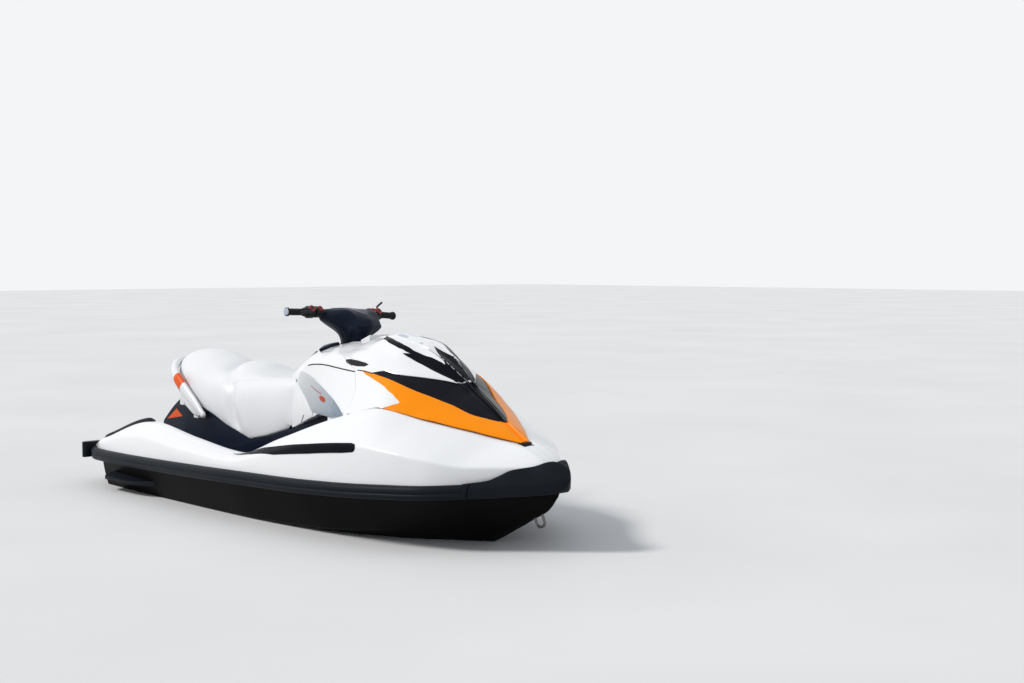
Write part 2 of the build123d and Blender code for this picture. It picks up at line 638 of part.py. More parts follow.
# Gauge, in its seat on the console ahead of the bars
with BuildPart() as gauge:
    with BuildSketch(Plane.XZ.offset(-GAUGE_HALF)):
        with BuildLine():
            Polyline((GAUGE_X - GAUGE_LONG, GAUGE_LOW), (GAUGE_X + GAUGE_LONG, GAUGE_LOW),
                     (GAUGE_X + GAUGE_LONG, GAUGE_FRONT_Z), (GAUGE_X - GAUGE_LONG, GAUGE_AFT_Z), close=True)
        make_face()
    extrude(amount=2 * GAUGE_HALF)
save(gauge.part, "gauge")

# Hood: a hollow lid in three colours, with its hinge eye
hood_outer = upper_shape(0, 452)
hood_inner = lofted([(u.x, mirrored([
    (max(u.low_y - HOOD_WALL, 8), SKIRT_Z),
    (max(u.part_y - HOOD_WALL, 7), max(u.part_z - HOOD_WALL / 2, SKIRT_Z + 1)),
    (max(u.shoulder_y - HOOD_WALL / 2, 6), u.shoulder_z - HOOD_WALL),
])) for u in UPPER if u.x < along(1250)])
ahead_of_seam = side_prism(HOOD_SEAM + side_view([(1500, 300), (1500, 1000)]), -FAR_Y, FAR_Y)
hood_eye_web = block((HINGE_X - HINGE_LUG, -HINGE_HALF, HINGE_Z + 2), (HINGE_X + 2, HINGE_HALF, HINGE_Z + 21))


def hinge_rod(radius, half):
    """A round bar along the hood's hinge."""
    with BuildPart() as rod:
        with BuildSketch(Plane.XZ.offset(-half)):
            with Locations((HINGE_X, HINGE_Z)):
                Circle(radius)
        extrude(amount=2 * half)
    return rod.part


low_edge = [(u.x, u.low_z) for u in UPPER if u.x >= along(300)]
above_edge = side_prism(side_view([(200, 550)]) + low_edge
                        + side_view([(1500, 460), (1500, 1000), (200, 1000)]), -FAR_Y, FAR_Y)
with BuildPart() as hood_shell:
    add(hood_outer)
    add(ahead_of_seam, mode=Mode.INTERSECT)
    add(above_edge, mode=Mode.INTERSECT)
    add(hood_inner, mode=Mode.SUBTRACT)
below_band = side_prism(BAND_LINE + side_view([(1500, 200), (380, 200)]), -FAR_Y, FAR_Y)
above_cowl = side_prism(COWL_LINE + side_view([(380, 1100)]), -FAR_Y, FAR_Y)
with BuildPart() as hood_band:
    add(hood_shell.part)
    add(below_band, mode=Mode.INTERSECT)
    add(hinge_rod(HINGE_EYE_R, HINGE_HALF))
    add(hood_eye_web)
    add(hinge_rod(HINGE_PIN_R + PIN_GAP, HINGE_HALF + 1), mode=Mode.SUBTRACT)
save(hood_band.part, "hood_band")
save(hood_shell.part & above_cowl, "hood_cowl")
with BuildPart() as hood_insert:
    add(hood_shell.part)
    add(below_band, mode=Mode.SUBTRACT)
    add(above_cowl, mode=Mode.SUBTRACT)
save(hood_insert.part, "hood_insert")

# Storage bin under the hood
with BuildPart() as storage_bin:
    add(plan_prism(both_ways([(BIN_AFT_X + SEAT_GAP, BIN_HALF_AFT - BIN_GAP),
                              (BIN_FRONT_X - BIN_GAP, BIN_HALF_FRONT - BIN_GAP)]), BIN_FLOOR_Z, BIN_TOP_Z))
    inset = BIN_GAP + BIN_WALL
    add(plan_prism(both_ways([(BIN_AFT_X + BIN_WALL, BIN_HALF_AFT - inset),
                              (BIN_FRONT_X - inset, BIN_HALF_FRONT - inset)]),
                   BIN_FLOOR_Z + BIN_WALL, BIN_TOP_Z + 1), mode=Mode.SUBTRACT)
save(storage_bin.part, "storage_bin")

# Seat, resting on the pedestal
with BuildPart() as seat:
    add(lofted([(r.x, mirrored([
        (r.base_y - 6, SKIRT_Z),
        (r.base_y, (r.shoulder_z + SKIRT_Z) / 2 + 60),
        (r.shoulder_y, r.shoulder_z),
        (r.shoulder_y * 0.5, r.top_z),
    ])) for r in SEAT_ROWS]))
    crest = PEDESTAL_TOP.index(SEAT_TAIL[0])
    underside = list(reversed(SEAT_TAIL)) + PEDESTAL_TOP[crest + 1:]
    add(side_prism([(x, z + SEAT_GAP) for x, z in underside] + [(WELL_FRONT_X, 0)]
                   + side_view([(-1400, 0), (-1400, 668)]), -FAR_Y, FAR_Y), mode=Mode.SUBTRACT)
    add(upper_shape(SEAT_SIDE_GAP, SKIRT_Z), mode=Mode.SUBTRACT)
    add(upper_shape(SEAT_SIDE_GAP, SKIRT_Z).moved(Location((-MOVE_GAP, 0, 0))), mode=Mode.SUBTRACT)
save(seat.part, "seat")

# Grab handle round the back of the seat
with BuildPart() as grab_handle:
    with BuildLine() as route:
        port_route = [(x, -y, z) for x, y, z in reversed(HANDLE_ROUTE)]
        FilletPolyline(*(HANDLE_ROUTE + port_route), radius=HANDLE_BEND)
    with BuildSketch(Plane(origin=route.wire() @ 0, z_dir=route.wire() % 0)):
        Circle(HANDLE_R)
    sweep(path=route.wire())
    web_y = HANDLE_ROUTE[0][1] + WEB_THICK / 2
    for low_y in (web_y - WEB_THICK, -web_y):
        add(side_prism(HANDLE_WEB, low_y, low_y + WEB_THICK))
    for low_y, high_y in ((web_y - 2, -PEDESTAL_HALF), (PEDESTAL_HALF, -web_y + 2)):
        for (aft_x, low_z), (front_x, high_z) in HANDLE_PADS:
            add(block((along(aft_x), low_y, low_z), (along(front_x), high_y, high_z)))
save(grab_handle.part, "grab_handle")

# Engine: one plain block
save(block((ENGINE_X - ENGINE_LENGTH / 2, -ENGINE_WIDTH / 2, BAY_FLOOR_Z),
           (ENGINE_X + ENGINE_LENGTH / 2, ENGINE_WIDTH / 2, BAY_FLOOR_Z + ENGINE_HEIGHT)), "engine_block")

# Bars and what they carry, drawn in the frame of the steering axis, with z along it
steer_axis = Axis(origin=(STEER_X, 0, STEER_Z), direction=tuple(steer_up))


def on_bars(part):
    """A piece drawn in the steering frame, set in place and turned with the bars."""
    return part.moved(steer_plane.location).rotate(steer_axis, STEER_REST)


def tube(points, bend, radius):
    """A round bar along straight runs joined by arcs."""
    with BuildPart() as bar:
        with BuildLine() as path:
            FilletPolyline(*points, radius=bend)
        with BuildSketch(Plane(origin=path.wire() @ 0, z_dir=path.wire() % 0)):
            Circle(radius)
        sweep(path=path.wire())
    return bar.part


bar_points = [(x, -y, z) for x, y, z in reversed(BAR_ROUTE[1:])] + BAR_ROUTE[1:]
bar_tube = tube(bar_points, BAR_BEND, BAR_R)
bar_space = tube(bar_points, BAR_BEND, BAR_R + BAR_GAP)
with BuildPart() as column:
    column_foot = 10 - WELL_DEPTH - COLUMN_LENGTH
    with BuildSketch(Plane.XY.offset(column_foot)):
        Circle(COLUMN_R)
    extrude(amount=COLUMN_TOP - column_foot)
with BuildPart() as handlebar:
    add(bar_tube)
    add(column.part)
save(on_bars(handlebar.part), "handlebar")

# Shroud round the column and bar, with the pad on top
Ring = namedtuple("Ring", "z front rear half")
SHROUD = [
    Ring(-WELL_DEPTH + 6, 78, -76, 70),
    Ring(46, 66, -60, 66),
    Ring(92, 96, -54, 96),
    Ring(126, 128, -50, 158),
    Ring(158, 118, -34, 150),
    Ring(174, 96, -14, 80),
]
with BuildPart() as handlebar_pad:
    for ring in SHROUD:
        with BuildSketch(Plane.XY.offset(ring.z)):
            with BuildLine():
                Polyline((ring.front, 0.45 * ring.half), (0.4 * ring.front, ring.half),
                         (0.6 * ring.rear, ring.half), (ring.rear, 0.5 * ring.half),
                         (ring.rear, -0.5 * ring.half), (0.6 * ring.rear, -ring.half),
                         (0.4 * ring.front, -ring.half),
                         (ring.front, -0.45 * ring.half), close=True)
            make_face()
    loft(ruled=True)
    add(bar_space, mode=Mode.SUBTRACT)
    with BuildSketch(Plane.XY.offset(-2 * WELL_DEPTH)):
        Circle(COLUMN_R + BAR_GAP)
    extrude(amount=2 * WELL_DEPTH + COLUMN_TOP + BAR_GAP, mode=Mode.SUBTRACT)
save(on_bars(handlebar_pad.part), "handlebar_pad")

# Grips, switch pods and levers on the straight end of each bar
elbow, tip = Vector(*BAR_ROUTE[2]), Vector(*BAR_ROUTE[3])
grip_dir = (tip - elbow).normalized()
POD_START = 28.0
LEVER_BEND, THROTTLE_R, REVERSE_R = 14.0, 6.0, 5.0
for side, name in ((1, "left"), (-1, "right")):
    start = Vector(elbow.X, side * elbow.Y, elbow.Z)
    outwards = Vector(grip_dir.X, side * grip_dir.Y, grip_dir.Z)
    bar_end = Vector(tip.X, side * tip.Y, tip.Z)
    with BuildPart() as pod:
        with BuildSketch(Plane(origin=start + outwards * POD_START, z_dir=outwards)):
            Circle(POD_R)
            Circle(BAR_R + BAR_GAP, mode=Mode.SUBTRACT)
        extrude(amount=POD_LENGTH)
    save(on_bars(pod.part), f"switch_pod_{name}")
    with BuildPart() as grip:
        with BuildSketch(Plane(origin=bar_end + outwards * GRIP_END, z_dir=-outwards)):
            Circle(GRIP_R)
        extrude(amount=GRIP_LENGTH)
        with BuildSketch(Plane(origin=bar_end + outwards * GRIP_END, z_dir=-outwards)):
            Circle(GRIP_END_R)
        extrude(amount=GRIP_FLANGE)
        with BuildSketch(Plane(origin=bar_end, z_dir=-outwards)):
            Circle(BAR_R + BAR_GAP)
        extrude(amount=GRIP_LENGTH, mode=Mode.SUBTRACT)
    save(on_bars(grip.part), f"grip_{name}")

lever_root = elbow + grip_dir * (POD_START + POD_LENGTH / 2)
throttle_points = [(lever_root.X + POD_R - 2, -lever_root.Y, lever_root.Z - 8),
                   (lever_root.X + 52, -lever_root.Y - 12, lever_root.Z - 14),
                   (lever_root.X + 46, -lever_root.Y - 92, lever_root.Z - 18)]
with BuildPart() as throttle_space:
    with BuildSketch(Plane(origin=elbow + grip_dir * POD_START, z_dir=grip_dir)):
        Circle(POD_R + BAR_GAP)
    extrude(amount=POD_LENGTH)
throttle_lever = tube(throttle_points, LEVER_BEND, THROTTLE_R) - mirror(throttle_space.part, about=Plane.XZ)
save(on_bars(throttle_lever), "throttle_lever")
reverse_points = [(lever_root.X, lever_root.Y, lever_root.Z + POD_R - 2),
                  (lever_root.X - 2, lever_root.Y + 10, lever_root.Z + 44),
                  (lever_root.X + 4, lever_root.Y + 46, lever_root.Z + 66)]
reverse_lever = tube(reverse_points, LEVER_BEND, REVERSE_R) - throttle_space.part
save(on_bars(reverse_lever), "reverse_lever")

# Water jet: housing with its guide vanes
jet_front = Plane.YZ.offset(RING_FRONT_X)
with BuildPart() as pump_housing:
    with BuildSketch(Plane.YZ.offset(RING_AFT_X)):
        with Locations((0, JET_Z)):
            Circle(RING_R)
            Circle(BORE_R, mode=Mode.SUBTRACT)
    extrude(amount=RING_FRONT_X - RING_AFT_X)
    with BuildSketch(jet_front):
        with Locations((0, JET_Z)):
            Rectangle(2 * TUNNEL_HALF - 2, 2 * RING_R + 16)
            Circle(BORE_R, mode=Mode.SUBTRACT)
    extrude(amount=FLANGE)
    with BuildSketch(Plane.YZ.offset(RING_AFT_X)):
        with Locations((0, JET_Z)):
            Circle(IMPELLER_HUB_R)
            with PolarLocations((IMPELLER_HUB_R + BORE_R) / 2, VANES):
                Rectangle(BORE_R - IMPELLER_HUB_R + 8, VANE_THICK)
    extrude(amount=IMPELLER_X - RING_AFT_X - MOVE_GAP)
    with BuildSketch(Plane.YZ.offset(RING_AFT_X + SHAFT_SEAT)):
        with Locations((0, JET_Z)):
            Circle(SHAFT_R + PIN_GAP)
    extrude(amount=200, mode=Mode.SUBTRACT)
save(pump_housing.part, "pump_housing")

# Venturi, with the ears that carry the nozzle and the bucket
jet_axis = Axis(origin=(0, 0, JET_Z), direction=(1, 0, 0))
with BuildPart() as pump_venturi:
    with BuildSketch(Plane.XZ):
        with BuildLine():
            Polyline((RING_AFT_X, JET_Z + BORE_R), (RING_AFT_X, JET_Z + RING_R),
                     (RING_AFT_X - 8, JET_Z + RING_R), (VENTURI_STRAIGHT_X, JET_Z + VENTURI_R),
                     (VENTURI_AFT_X, JET_Z + VENTURI_R),
                     (VENTURI_AFT_X, JET_Z + VENTURI_BORE_R), (VENTURI_STRAIGHT_X, JET_Z + VENTURI_BORE_R),
                     close=True)
        make_face()
    revolve(axis=jet_axis)
    for up in (1, -1):
        ear_low, ear_high = sorted(JET_Z + up * (BOSS_TOP + PIN_GAP + height) for height in (0, EAR))
        add(block((PIVOT_X - 14, -14, ear_low), (RING_AFT_X, 14, ear_high)))
        pin_low, pin_high = sorted((JET_Z + up * (NOZZLE_BORE_R + 1), JET_Z + up * (BOSS_TOP + PIN_GAP)))
        with BuildSketch(Plane.XY.offset(pin_low)):
            with Locations((PIVOT_X, 0)):
                Circle(PIVOT_PIN_R)
        extrude(amount=pin_high - pin_low)
        low_y, high_y = sorted((up * (BUCKET_HALF + PIN_GAP), up * (BUCKET_HALF + PIN_GAP + EAR)))
        add(block((PIVOT_X - 14, low_y, JET_Z - 14), (RING_AFT_X, high_y, JET_Z + 14)))
        root_y, side_y = sorted((up * (RING_R - 20), up * (BUCKET_HALF + PIN_GAP + EAR)))
        add(block((RING_AFT_X - 12, root_y, JET_Z - 14), (RING_AFT_X, side_y, JET_Z + 14)))
        pin_y, end_y = sorted((up * (BUCKET_HALF + PIN_GAP), up * (BUCKET_HALF - BUCKET_WALL)))
        with BuildSketch(Plane.XZ.offset(-pin_y)):
            with Locations((PIVOT_X, JET_Z)):
                Circle(BUCKET_PIN_R)
        extrude(amount=-(end_y - pin_y))
save(pump_venturi.part, "pump_venturi")

# Steering nozzle, turned with the bars
pivot_axis = Axis(origin=(PIVOT_X, 0, JET_Z), direction=(0, 0, 1))
with BuildPart() as steering_nozzle:
    with BuildSketch(Plane.XZ):
        with BuildLine():
            Polyline((NOZZLE_FRONT_X, JET_Z + NOZZLE_BORE_R), (NOZZLE_FRONT_X, JET_Z + NOZZLE_R),
                     (NOZZLE_TAPER_X, JET_Z + NOZZLE_R), (NOZZLE_AFT_X, JET_Z + NOZZLE_TIP_R),
                     (NOZZLE_AFT_X, JET_Z + NOZZLE_TIP_BORE_R), (NOZZLE_TAPER_X, JET_Z + NOZZLE_BORE_R),
                     close=True)
        make_face()
    revolve(axis=jet_axis)
    for up in (1, -1):
        low, high = sorted((JET_Z + up * (NOZZLE_BORE_R + 2), JET_Z + up * BOSS_TOP))
        with BuildSketch(Plane.XY.offset(low)):
            with Locations((PIVOT_X, 0)):
                Circle(BOSS_R)
        extrude(amount=high - low)
    with BuildSketch(Plane.XY.offset(JET_Z - BOSS_TOP - 1)):
        with Locations((PIVOT_X, 0)):
            Circle(PIVOT_PIN_R + PIN_GAP)
    extrude(amount=2 * BOSS_TOP + 2, mode=Mode.SUBTRACT)
save(steering_nozzle.part.rotate(pivot_axis, -NOZZLE_RATIO * STEER_REST), "steering_nozzle")


# Reverse bucket, stowed above the nozzle
def on_arc(radius, degrees):
    """A point in side view round the bucket's pivot, by its angle above straight aft."""
    angle = math.radians(degrees)
    return (PIVOT_X - radius * math.cos(angle), JET_Z + radius * math.sin(angle))


arc_middle = (BUCKET_LOW + BUCKET_HIGH) / 2
inner_r = BUCKET_R - BUCKET_WALL
with BuildPart() as reverse_bucket:
    with BuildSketch(Plane.XZ.offset(-BUCKET_HALF)):
        with BuildLine():
            ThreePointArc(on_arc(BUCKET_R, BUCKET_LOW), on_arc(BUCKET_R, arc_middle),
                          on_arc(BUCKET_R, BUCKET_HIGH))
            Line(on_arc(BUCKET_R, BUCKET_HIGH), on_arc(inner_r, BUCKET_HIGH))
            ThreePointArc(on_arc(inner_r, BUCKET_HIGH), on_arc(inner_r, arc_middle),
                          on_arc(inner_r, BUCKET_LOW))
            Line(on_arc(inner_r, BUCKET_LOW), on_arc(BUCKET_R, BUCKET_LOW))
        make_face()
    extrude(amount=2 * BUCKET_HALF)
    for y in (BUCKET_HALF, -BUCKET_HALF + BUCKET_WALL):
        with BuildSketch(Plane.XZ.offset(-y)):
            with BuildLine():
                ThreePointArc(on_arc(BUCKET_R, BUCKET_LOW), on_arc(BUCKET_R, arc_middle),
                              on_arc(BUCKET_R, BUCKET_HIGH))
                Polyline(on_arc(BUCKET_R, BUCKET_HIGH), on_arc(20, BUCKET_HIGH + 20), on_arc(18, 180),
                         on_arc(18, -60), on_arc(20, BUCKET_LOW - 30), on_arc(BUCKET_R, BUCKET_LOW))
            make_face()
        extrude(amount=BUCKET_WALL)
    with BuildSketch(Plane.XZ.offset(-BUCKET_HALF - 1)):
        with Locations((PIVOT_X, JET_Z)):
            Circle(BUCKET_PIN_R + PIN_GAP)
    extrude(amount=2 * BUCKET_HALF + 2, mode=Mode.SUBTRACT)
save(reverse_bucket.part, "reverse_bucket")

# Impeller and drive shaft
with BuildPart() as impeller:
    with BuildSketch(Plane.YZ.offset(IMPELLER_X)):
        with Locations((0, JET_Z)):
            Circle(IMPELLER_HUB_R)
    extrude(amount=IMPELLER_LENGTH)
    with BuildSketch(Plane.YZ.offset(IMPELLER_X + IMPELLER_LENGTH)):
        with Locations((0, JET_Z)):
            Circle(SHAFT_R)
    extrude(amount=-IMPELLER_LENGTH, mode=Mode.SUBTRACT)
    blade_r = BORE_R - MOVE_GAP - 0.6
    for i in range(BLADES):
        with BuildSketch(Plane.XY.offset(JET_Z + IMPELLER_HUB_R - 4)):
            with Locations(Location((IMPELLER_X + IMPELLER_LENGTH / 2, 0), BLADE_PITCH)):
                Rectangle(IMPELLER_LENGTH * 0.95, BLADE_THICK)
        blade_side = 360 / BLADES * i
        add(extrude(amount=blade_r - IMPELLER_HUB_R + 2, mode=Mode.PRIVATE).rotate(jet_axis, blade_side))
save(impeller.part, "impeller")
shaft_aft_x = RING_AFT_X + SHAFT_SEAT + PIN_GAP
shaft_front_x = ENGINE_X - ENGINE_LENGTH / 2 - PIN_GAP
with BuildPart() as drive_shaft:
    with BuildSketch(Plane.YZ.offset(shaft_aft_x)):
        with Locations((0, JET_Z)):
            Circle(SHAFT_R)
    extrude(amount=shaft_front_x - shaft_aft_x)
save(drive_shaft.part, "drive_shaft")

# Ride plate under the pump, and the intake grate
save(block((TRANSOM_X - 18, -TUNNEL_HALF + SEAT_GAP, PLATE_Z),
           (RING_FRONT_X + FLANGE, TUNNEL_HALF - SEAT_GAP, PLATE_Z + PLATE_THICK)), "ride_plate")
GRATE_Z, GRATE_BAR, GRATE_PITCH = -112.0, 8.0, 27.0
with BuildPart() as intake_grate:
    grate_ends = (MOUTH_AFT_X + GRATE_BAR / 2, MOUTH_FRONT_X - GRATE_BAR / 2)
    grate_half = GRATE_BAR / 2
    for x in grate_ends:
        add(block((x - grate_half, -DUCT_HALF, GRATE_Z), (x + grate_half, DUCT_HALF, GRATE_Z + GRATE_BAR)))
    for i in range(-2, 3):
        y = i * GRATE_PITCH
        add(block((grate_ends[0], y - grate_half, GRATE_Z),
                  (grate_ends[1], y + grate_half, GRATE_Z + GRATE_BAR)))
save(intake_grate.part, "intake_grate")

# Towing and mooring eyes
EYE_R, STERN_EYE_Z = 6.0, 110.0
stem_along = Vector(along(0.897), 0, 0.441).normalized()
stem_out = Vector(stem_along.Z, 0, -stem_along.X)
eye_centre = Vector(along(1500), 0, 147)
EYE_HALF, EYE_REACH, EYE_ROOT = 24.0, 46.0, 34.0
with BuildPart() as bow_eye:
    with BuildLine() as bow_loop:
        FilletPolyline(eye_centre + stem_along * EYE_HALF - stem_out * EYE_ROOT,
                       eye_centre + stem_along * EYE_HALF + stem_out * EYE_REACH,
                       eye_centre - stem_along * EYE_HALF + stem_out * EYE_REACH,
                       eye_centre - stem_along * EYE_HALF - stem_out * EYE_ROOT, radius=20)
    with BuildSketch(Plane(origin=bow_loop.wire() @ 0, z_dir=bow_loop.wire() % 0)):
        Circle(EYE_R)
    sweep(path=bow_loop.wire())
    add(hull_shape, mode=Mode.SUBTRACT)
save(bow_eye.part, "bow_eye")
with BuildPart() as stern_eyes:
    for y in (-across(390), across(390)):
        with BuildLine() as stern_loop:
            FilletPolyline((TRANSOM_X + 20, y - 25, STERN_EYE_Z), (TRANSOM_X - 40, y - 25, STERN_EYE_Z),
                           (TRANSOM_X - 40, y + 25, STERN_EYE_Z), (TRANSOM_X + 20, y + 25, STERN_EYE_Z),
                           radius=20)
        with BuildSketch(Plane(origin=stern_loop.wire() @ 0, z_dir=stern_loop.wire() % 0)):
            Circle(EYE_R)
        sweep(path=stern_loop.wire())
    add(hull_shape, mode=Mode.SUBTRACT)
save(stern_eyes.part, "stern_eyes")

# Drain plugs in the transom
with BuildPart() as drain_plugs:
    for y in (-DRAIN_Y, DRAIN_Y):
        with BuildSketch(Plane.YZ.offset(TRANSOM_X)):
            with Locations((y, DRAIN_Z)):
                Circle(DRAIN_R - 1)
        extrude(amount=25)
        with BuildSketch(Plane.YZ.offset(TRANSOM_X - 8)):
            with Locations((y, DRAIN_Z)):
                RegularPolygon(DRAIN_R + 6, 6)
        extrude(amount=8)
save(drain_plugs.part, "drain_plugs")
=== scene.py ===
import math
from collections import namedtuple

import bmesh
import bpy
import numpy as np
from mathutils import Matrix, Vector
from mathutils.bvhtree import BVHTree
from mathutils.geometry import delaunay_2d_cdt


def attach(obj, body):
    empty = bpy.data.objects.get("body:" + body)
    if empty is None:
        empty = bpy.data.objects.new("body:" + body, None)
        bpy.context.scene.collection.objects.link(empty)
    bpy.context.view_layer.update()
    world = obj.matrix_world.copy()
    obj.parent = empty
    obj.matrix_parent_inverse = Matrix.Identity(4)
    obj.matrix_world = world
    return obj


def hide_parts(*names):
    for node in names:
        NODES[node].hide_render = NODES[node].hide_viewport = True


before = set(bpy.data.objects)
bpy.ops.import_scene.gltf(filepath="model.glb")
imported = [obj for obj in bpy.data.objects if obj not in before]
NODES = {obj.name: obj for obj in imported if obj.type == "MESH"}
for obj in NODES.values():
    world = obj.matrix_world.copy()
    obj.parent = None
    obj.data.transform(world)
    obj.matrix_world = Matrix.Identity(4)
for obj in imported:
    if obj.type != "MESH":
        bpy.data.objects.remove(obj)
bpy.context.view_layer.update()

# Looks of a personal watercraft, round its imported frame. X runs forward, Y to port, Z up, and Z = 0 is
# the waterline. The tables of shapes are in millimetres, and every mesh is made in metres.

MM = 0.001
SIDES = ((1, "left"), (-1, "right"))
DOWN = (0, 0, -1)


# Camera

CAMERA_PLACE = (5.733, -4.221, 1.227)
CAMERA_AIM = (-0.7206, 0.6912, -0.0543)
SENSOR_MM = 36.0
LENS_MM = 49.2


def make_camera():
    data = bpy.data.cameras.new("camera")
    data.sensor_width = SENSOR_MM
    data.lens = LENS_MM
    camera = bpy.data.objects.new("camera", data)
    camera.location = CAMERA_PLACE
    camera.rotation_euler = Vector(CAMERA_AIM).to_track_quat("-Z", "Y").to_euler()
    bpy.context.scene.collection.objects.link(camera)
    bpy.context.scene.camera = camera


# Materials

class Nodes:
    """A material's node tree, with one short call for each kind of node."""

    def __init__(self, name):
        self.material = bpy.data.materials.new(name)
        self.material.use_nodes = True
        self.tree = self.material.node_tree
        self.shader = self.tree.nodes["Principled BSDF"]
        self.place = self.tree.nodes.new("ShaderNodeTexCoord").outputs["Object"]

    def new(self, kind, **settings):
        node = self.tree.nodes.new(kind)
        for key, value in settings.items():
            setattr(node, key, value)
        return node

    def link(self, output, target):
        self.tree.links.new(output, target)

    def stretched(self, scale):
        """Object coordinates, in metres, multiplied along each axis."""
        mapping = self.new("ShaderNodeMapping")
        mapping.inputs["Scale"].default_value = scale
        self.link(self.place, mapping.inputs["Vector"])
        return mapping.outputs["Vector"]

    def noise(self, scale, detail=4.0, where=None):
        node = self.new("ShaderNodeTexNoise")
        node.inputs["Scale"].default_value = scale
        node.inputs["Detail"].default_value = detail
        self.link(where or self.place, node.inputs["Vector"])
        return node.outputs["Fac"]

    def spread(self, value, low, high, start=0.0, end=1.0):
        """A value's range start to end, moved to low to high."""
        node = self.new("ShaderNodeMapRange")
        for name, number in (("From Min", start), ("From Max", end), ("To Min", low), ("To Max", high)):
            node.inputs[name].default_value = number
        self.link(value, node.inputs["Value"])
        return node.outputs["Result"]

    def math(self, operation, *values):
        node = self.new("ShaderNodeMath", operation=operation)
        for socket, value in zip(node.inputs, values):
            if isinstance(value, (int, float)):
                socket.default_value = value
            else:
                self.link(value, socket)
        return node.outputs[0]

    def mix(self, factor, first, second):
        """The colour between two colours."""
        node = self.new("ShaderNodeMix", data_type="RGBA")
        sockets = [s for s in node.inputs if s.type == "RGBA"]
        for socket, value in zip(sockets, (first, second)):
            if isinstance(value, tuple):
                socket.default_value = (*value, 1.0)
            else:
                self.link(value, socket)
        self.link(factor, node.inputs["Factor"])
        return [s for s in node.outputs if s.type == "RGBA"][0]

    def paint(self, factor, first, second):
        self.link(self.mix(factor, first, second), self.shader.inputs["Base Color"])

    def polish(self, value):
        self.link(value, self.shader.inputs["Roughness"])

    def bump(self, height, strength, distance):
        node = self.new("ShaderNodeBump")
        node.inputs["Strength"].default_value = strength
        node.inputs["Distance"].default_value = distance
        self.link(height, node.inputs["Height"])
        self.link(node.outputs["Normal"], self.shader.inputs["Normal"])

    def set(self, **values):
        for key, value in values.items():
            socket = self.shader.inputs[key.replace("_", " ")]
            socket.default_value = (*value, 1.0) if isinstance(value, tuple) else value


def gelcoat(name, colour, shade, roughness, coat, specular=0.5):
    """Painted or gel-coated plastic: a clear coat over colour that varies a little, with a faint ripple."""
    n = Nodes(name)
    blotches = n.noise(2.2, 3.0)
    grain = n.spread(n.noise(38.0, 5.0), 0.28, 0.40, 0.35, 0.7)
    dirt = n.math("MULTIPLY", n.spread(blotches, 0.0, 0.8, 0.42, 0.72), grain)
    n.paint(dirt, colour, shade)
    n.polish(n.spread(blotches, roughness * 0.9, roughness * 1.15, 0.3, 0.7))
    n.set(Coat_Weight=coat, Coat_Roughness=0.14, Specular_IOR_Level=specular)
    n.bump(n.noise(9.0, 2.0), 0.03, 0.0010)
    return n.material


def moulded(name, colour, worn, roughness, specular=0.3, grain_size=420.0, grain_depth=0.0002):
    """Moulded plastic or rubber with a fine grain, paler where it is scuffed."""
    n = Nodes(name)
    scuffs = n.noise(9.0, 8.0, n.stretched((0.35, 1.0, 1.6)))
    n.paint(n.spread(scuffs, 0.0, 0.55, 0.48, 0.78), colour, worn)
    n.polish(n.spread(scuffs, roughness * 0.85, min(roughness * 1.3, 0.95), 0.3, 0.75))
    n.set(Specular_IOR_Level=specular)
    n.bump(n.noise(grain_size, 3.0), 0.35, grain_depth)
    return n.material


def vinyl(name, colour, shade):
    """Marine vinyl with a pebbled grain and a soft sheen."""
    n = Nodes(name)
    pebbles = n.new("ShaderNodeTexVoronoi", feature="F1")
    pebbles.inputs["Scale"].default_value = 520.0
    n.link(n.place, pebbles.inputs["Vector"])
    stretch = n.noise(5.0, 3.0)
    n.paint(n.spread(stretch, 0.0, 0.5, 0.45, 0.8), colour, shade)
    n.polish(n.spread(n.noise(24.0), 0.36, 0.52, 0.3, 0.7))
    n.set(Sheen_Weight=0.12, Specular_IOR_Level=0.42)
    n.bump(pebbles.outputs["Distance"], 0.3, 0.00035)
    return n.material


def foam(name, colour, worn):
    """Closed-cell foam matting with a brushed, pitted face."""
    n = Nodes(name)
    pits = n.noise(900.0, 4.0)
    n.paint(n.spread(n.noise(14.0, 6.0), 0.0, 0.7, 0.42, 0.75), colour, worn)
    n.set(Roughness=0.86, Specular_IOR_Level=0.25)
    n.bump(pits, 0.6, 0.0005)
    return n.material


def metal(name, colour, roughness, cast=0.0002, brushed=(1, 1, 1)):
    """Bare metal, brushed along the axis with the smallest number, or cast."""
    n = Nodes(name)
    lines = n.noise(260.0, 6.0, n.stretched(brushed))
    n.paint(n.spread(n.noise(12.0, 5.0), 0.0, 0.6, 0.4, 0.8), colour, tuple(0.6 * c for c in colour))
    n.polish(n.spread(lines, roughness * 0.7, roughness * 1.4, 0.3, 0.7))
    n.set(Metallic=1.0)
    n.bump(lines, 0.25, cast)
    return n.material


def satin_painted_shading(name, pale, deep):
    """Satin paint whose colour holds painted light and shade: a pale painted highlight at the back and top,
    going to a deep blue-grey painted shade at the front and foot.
    """
    n = Nodes(name)
    parts = n.new("ShaderNodeSeparateXYZ")
    n.link(n.place, parts.inputs["Vector"])
    along, up = n.math("MULTIPLY", parts.outputs["X"], 0.8), n.math("MULTIPLY", parts.outputs["Z"], 0.6)
    # painted light and shade: pale towards the back and top, deep blue-grey towards the front and foot
    painted_shading = n.spread(n.math("SUBTRACT", along, up), 0.0, 0.92, -0.34, 0.10)
    painted_shading = n.math("ADD", painted_shading, n.spread(n.noise(30.0), 0.0, 0.08, 0.3, 0.7))
    n.paint(painted_shading, pale, deep)
    n.set(Roughness=0.34, Coat_Weight=0.25, Coat_Roughness=0.1)
    n.bump(n.noise(500.0, 2.0), 0.1, 0.0002)
    return n.material


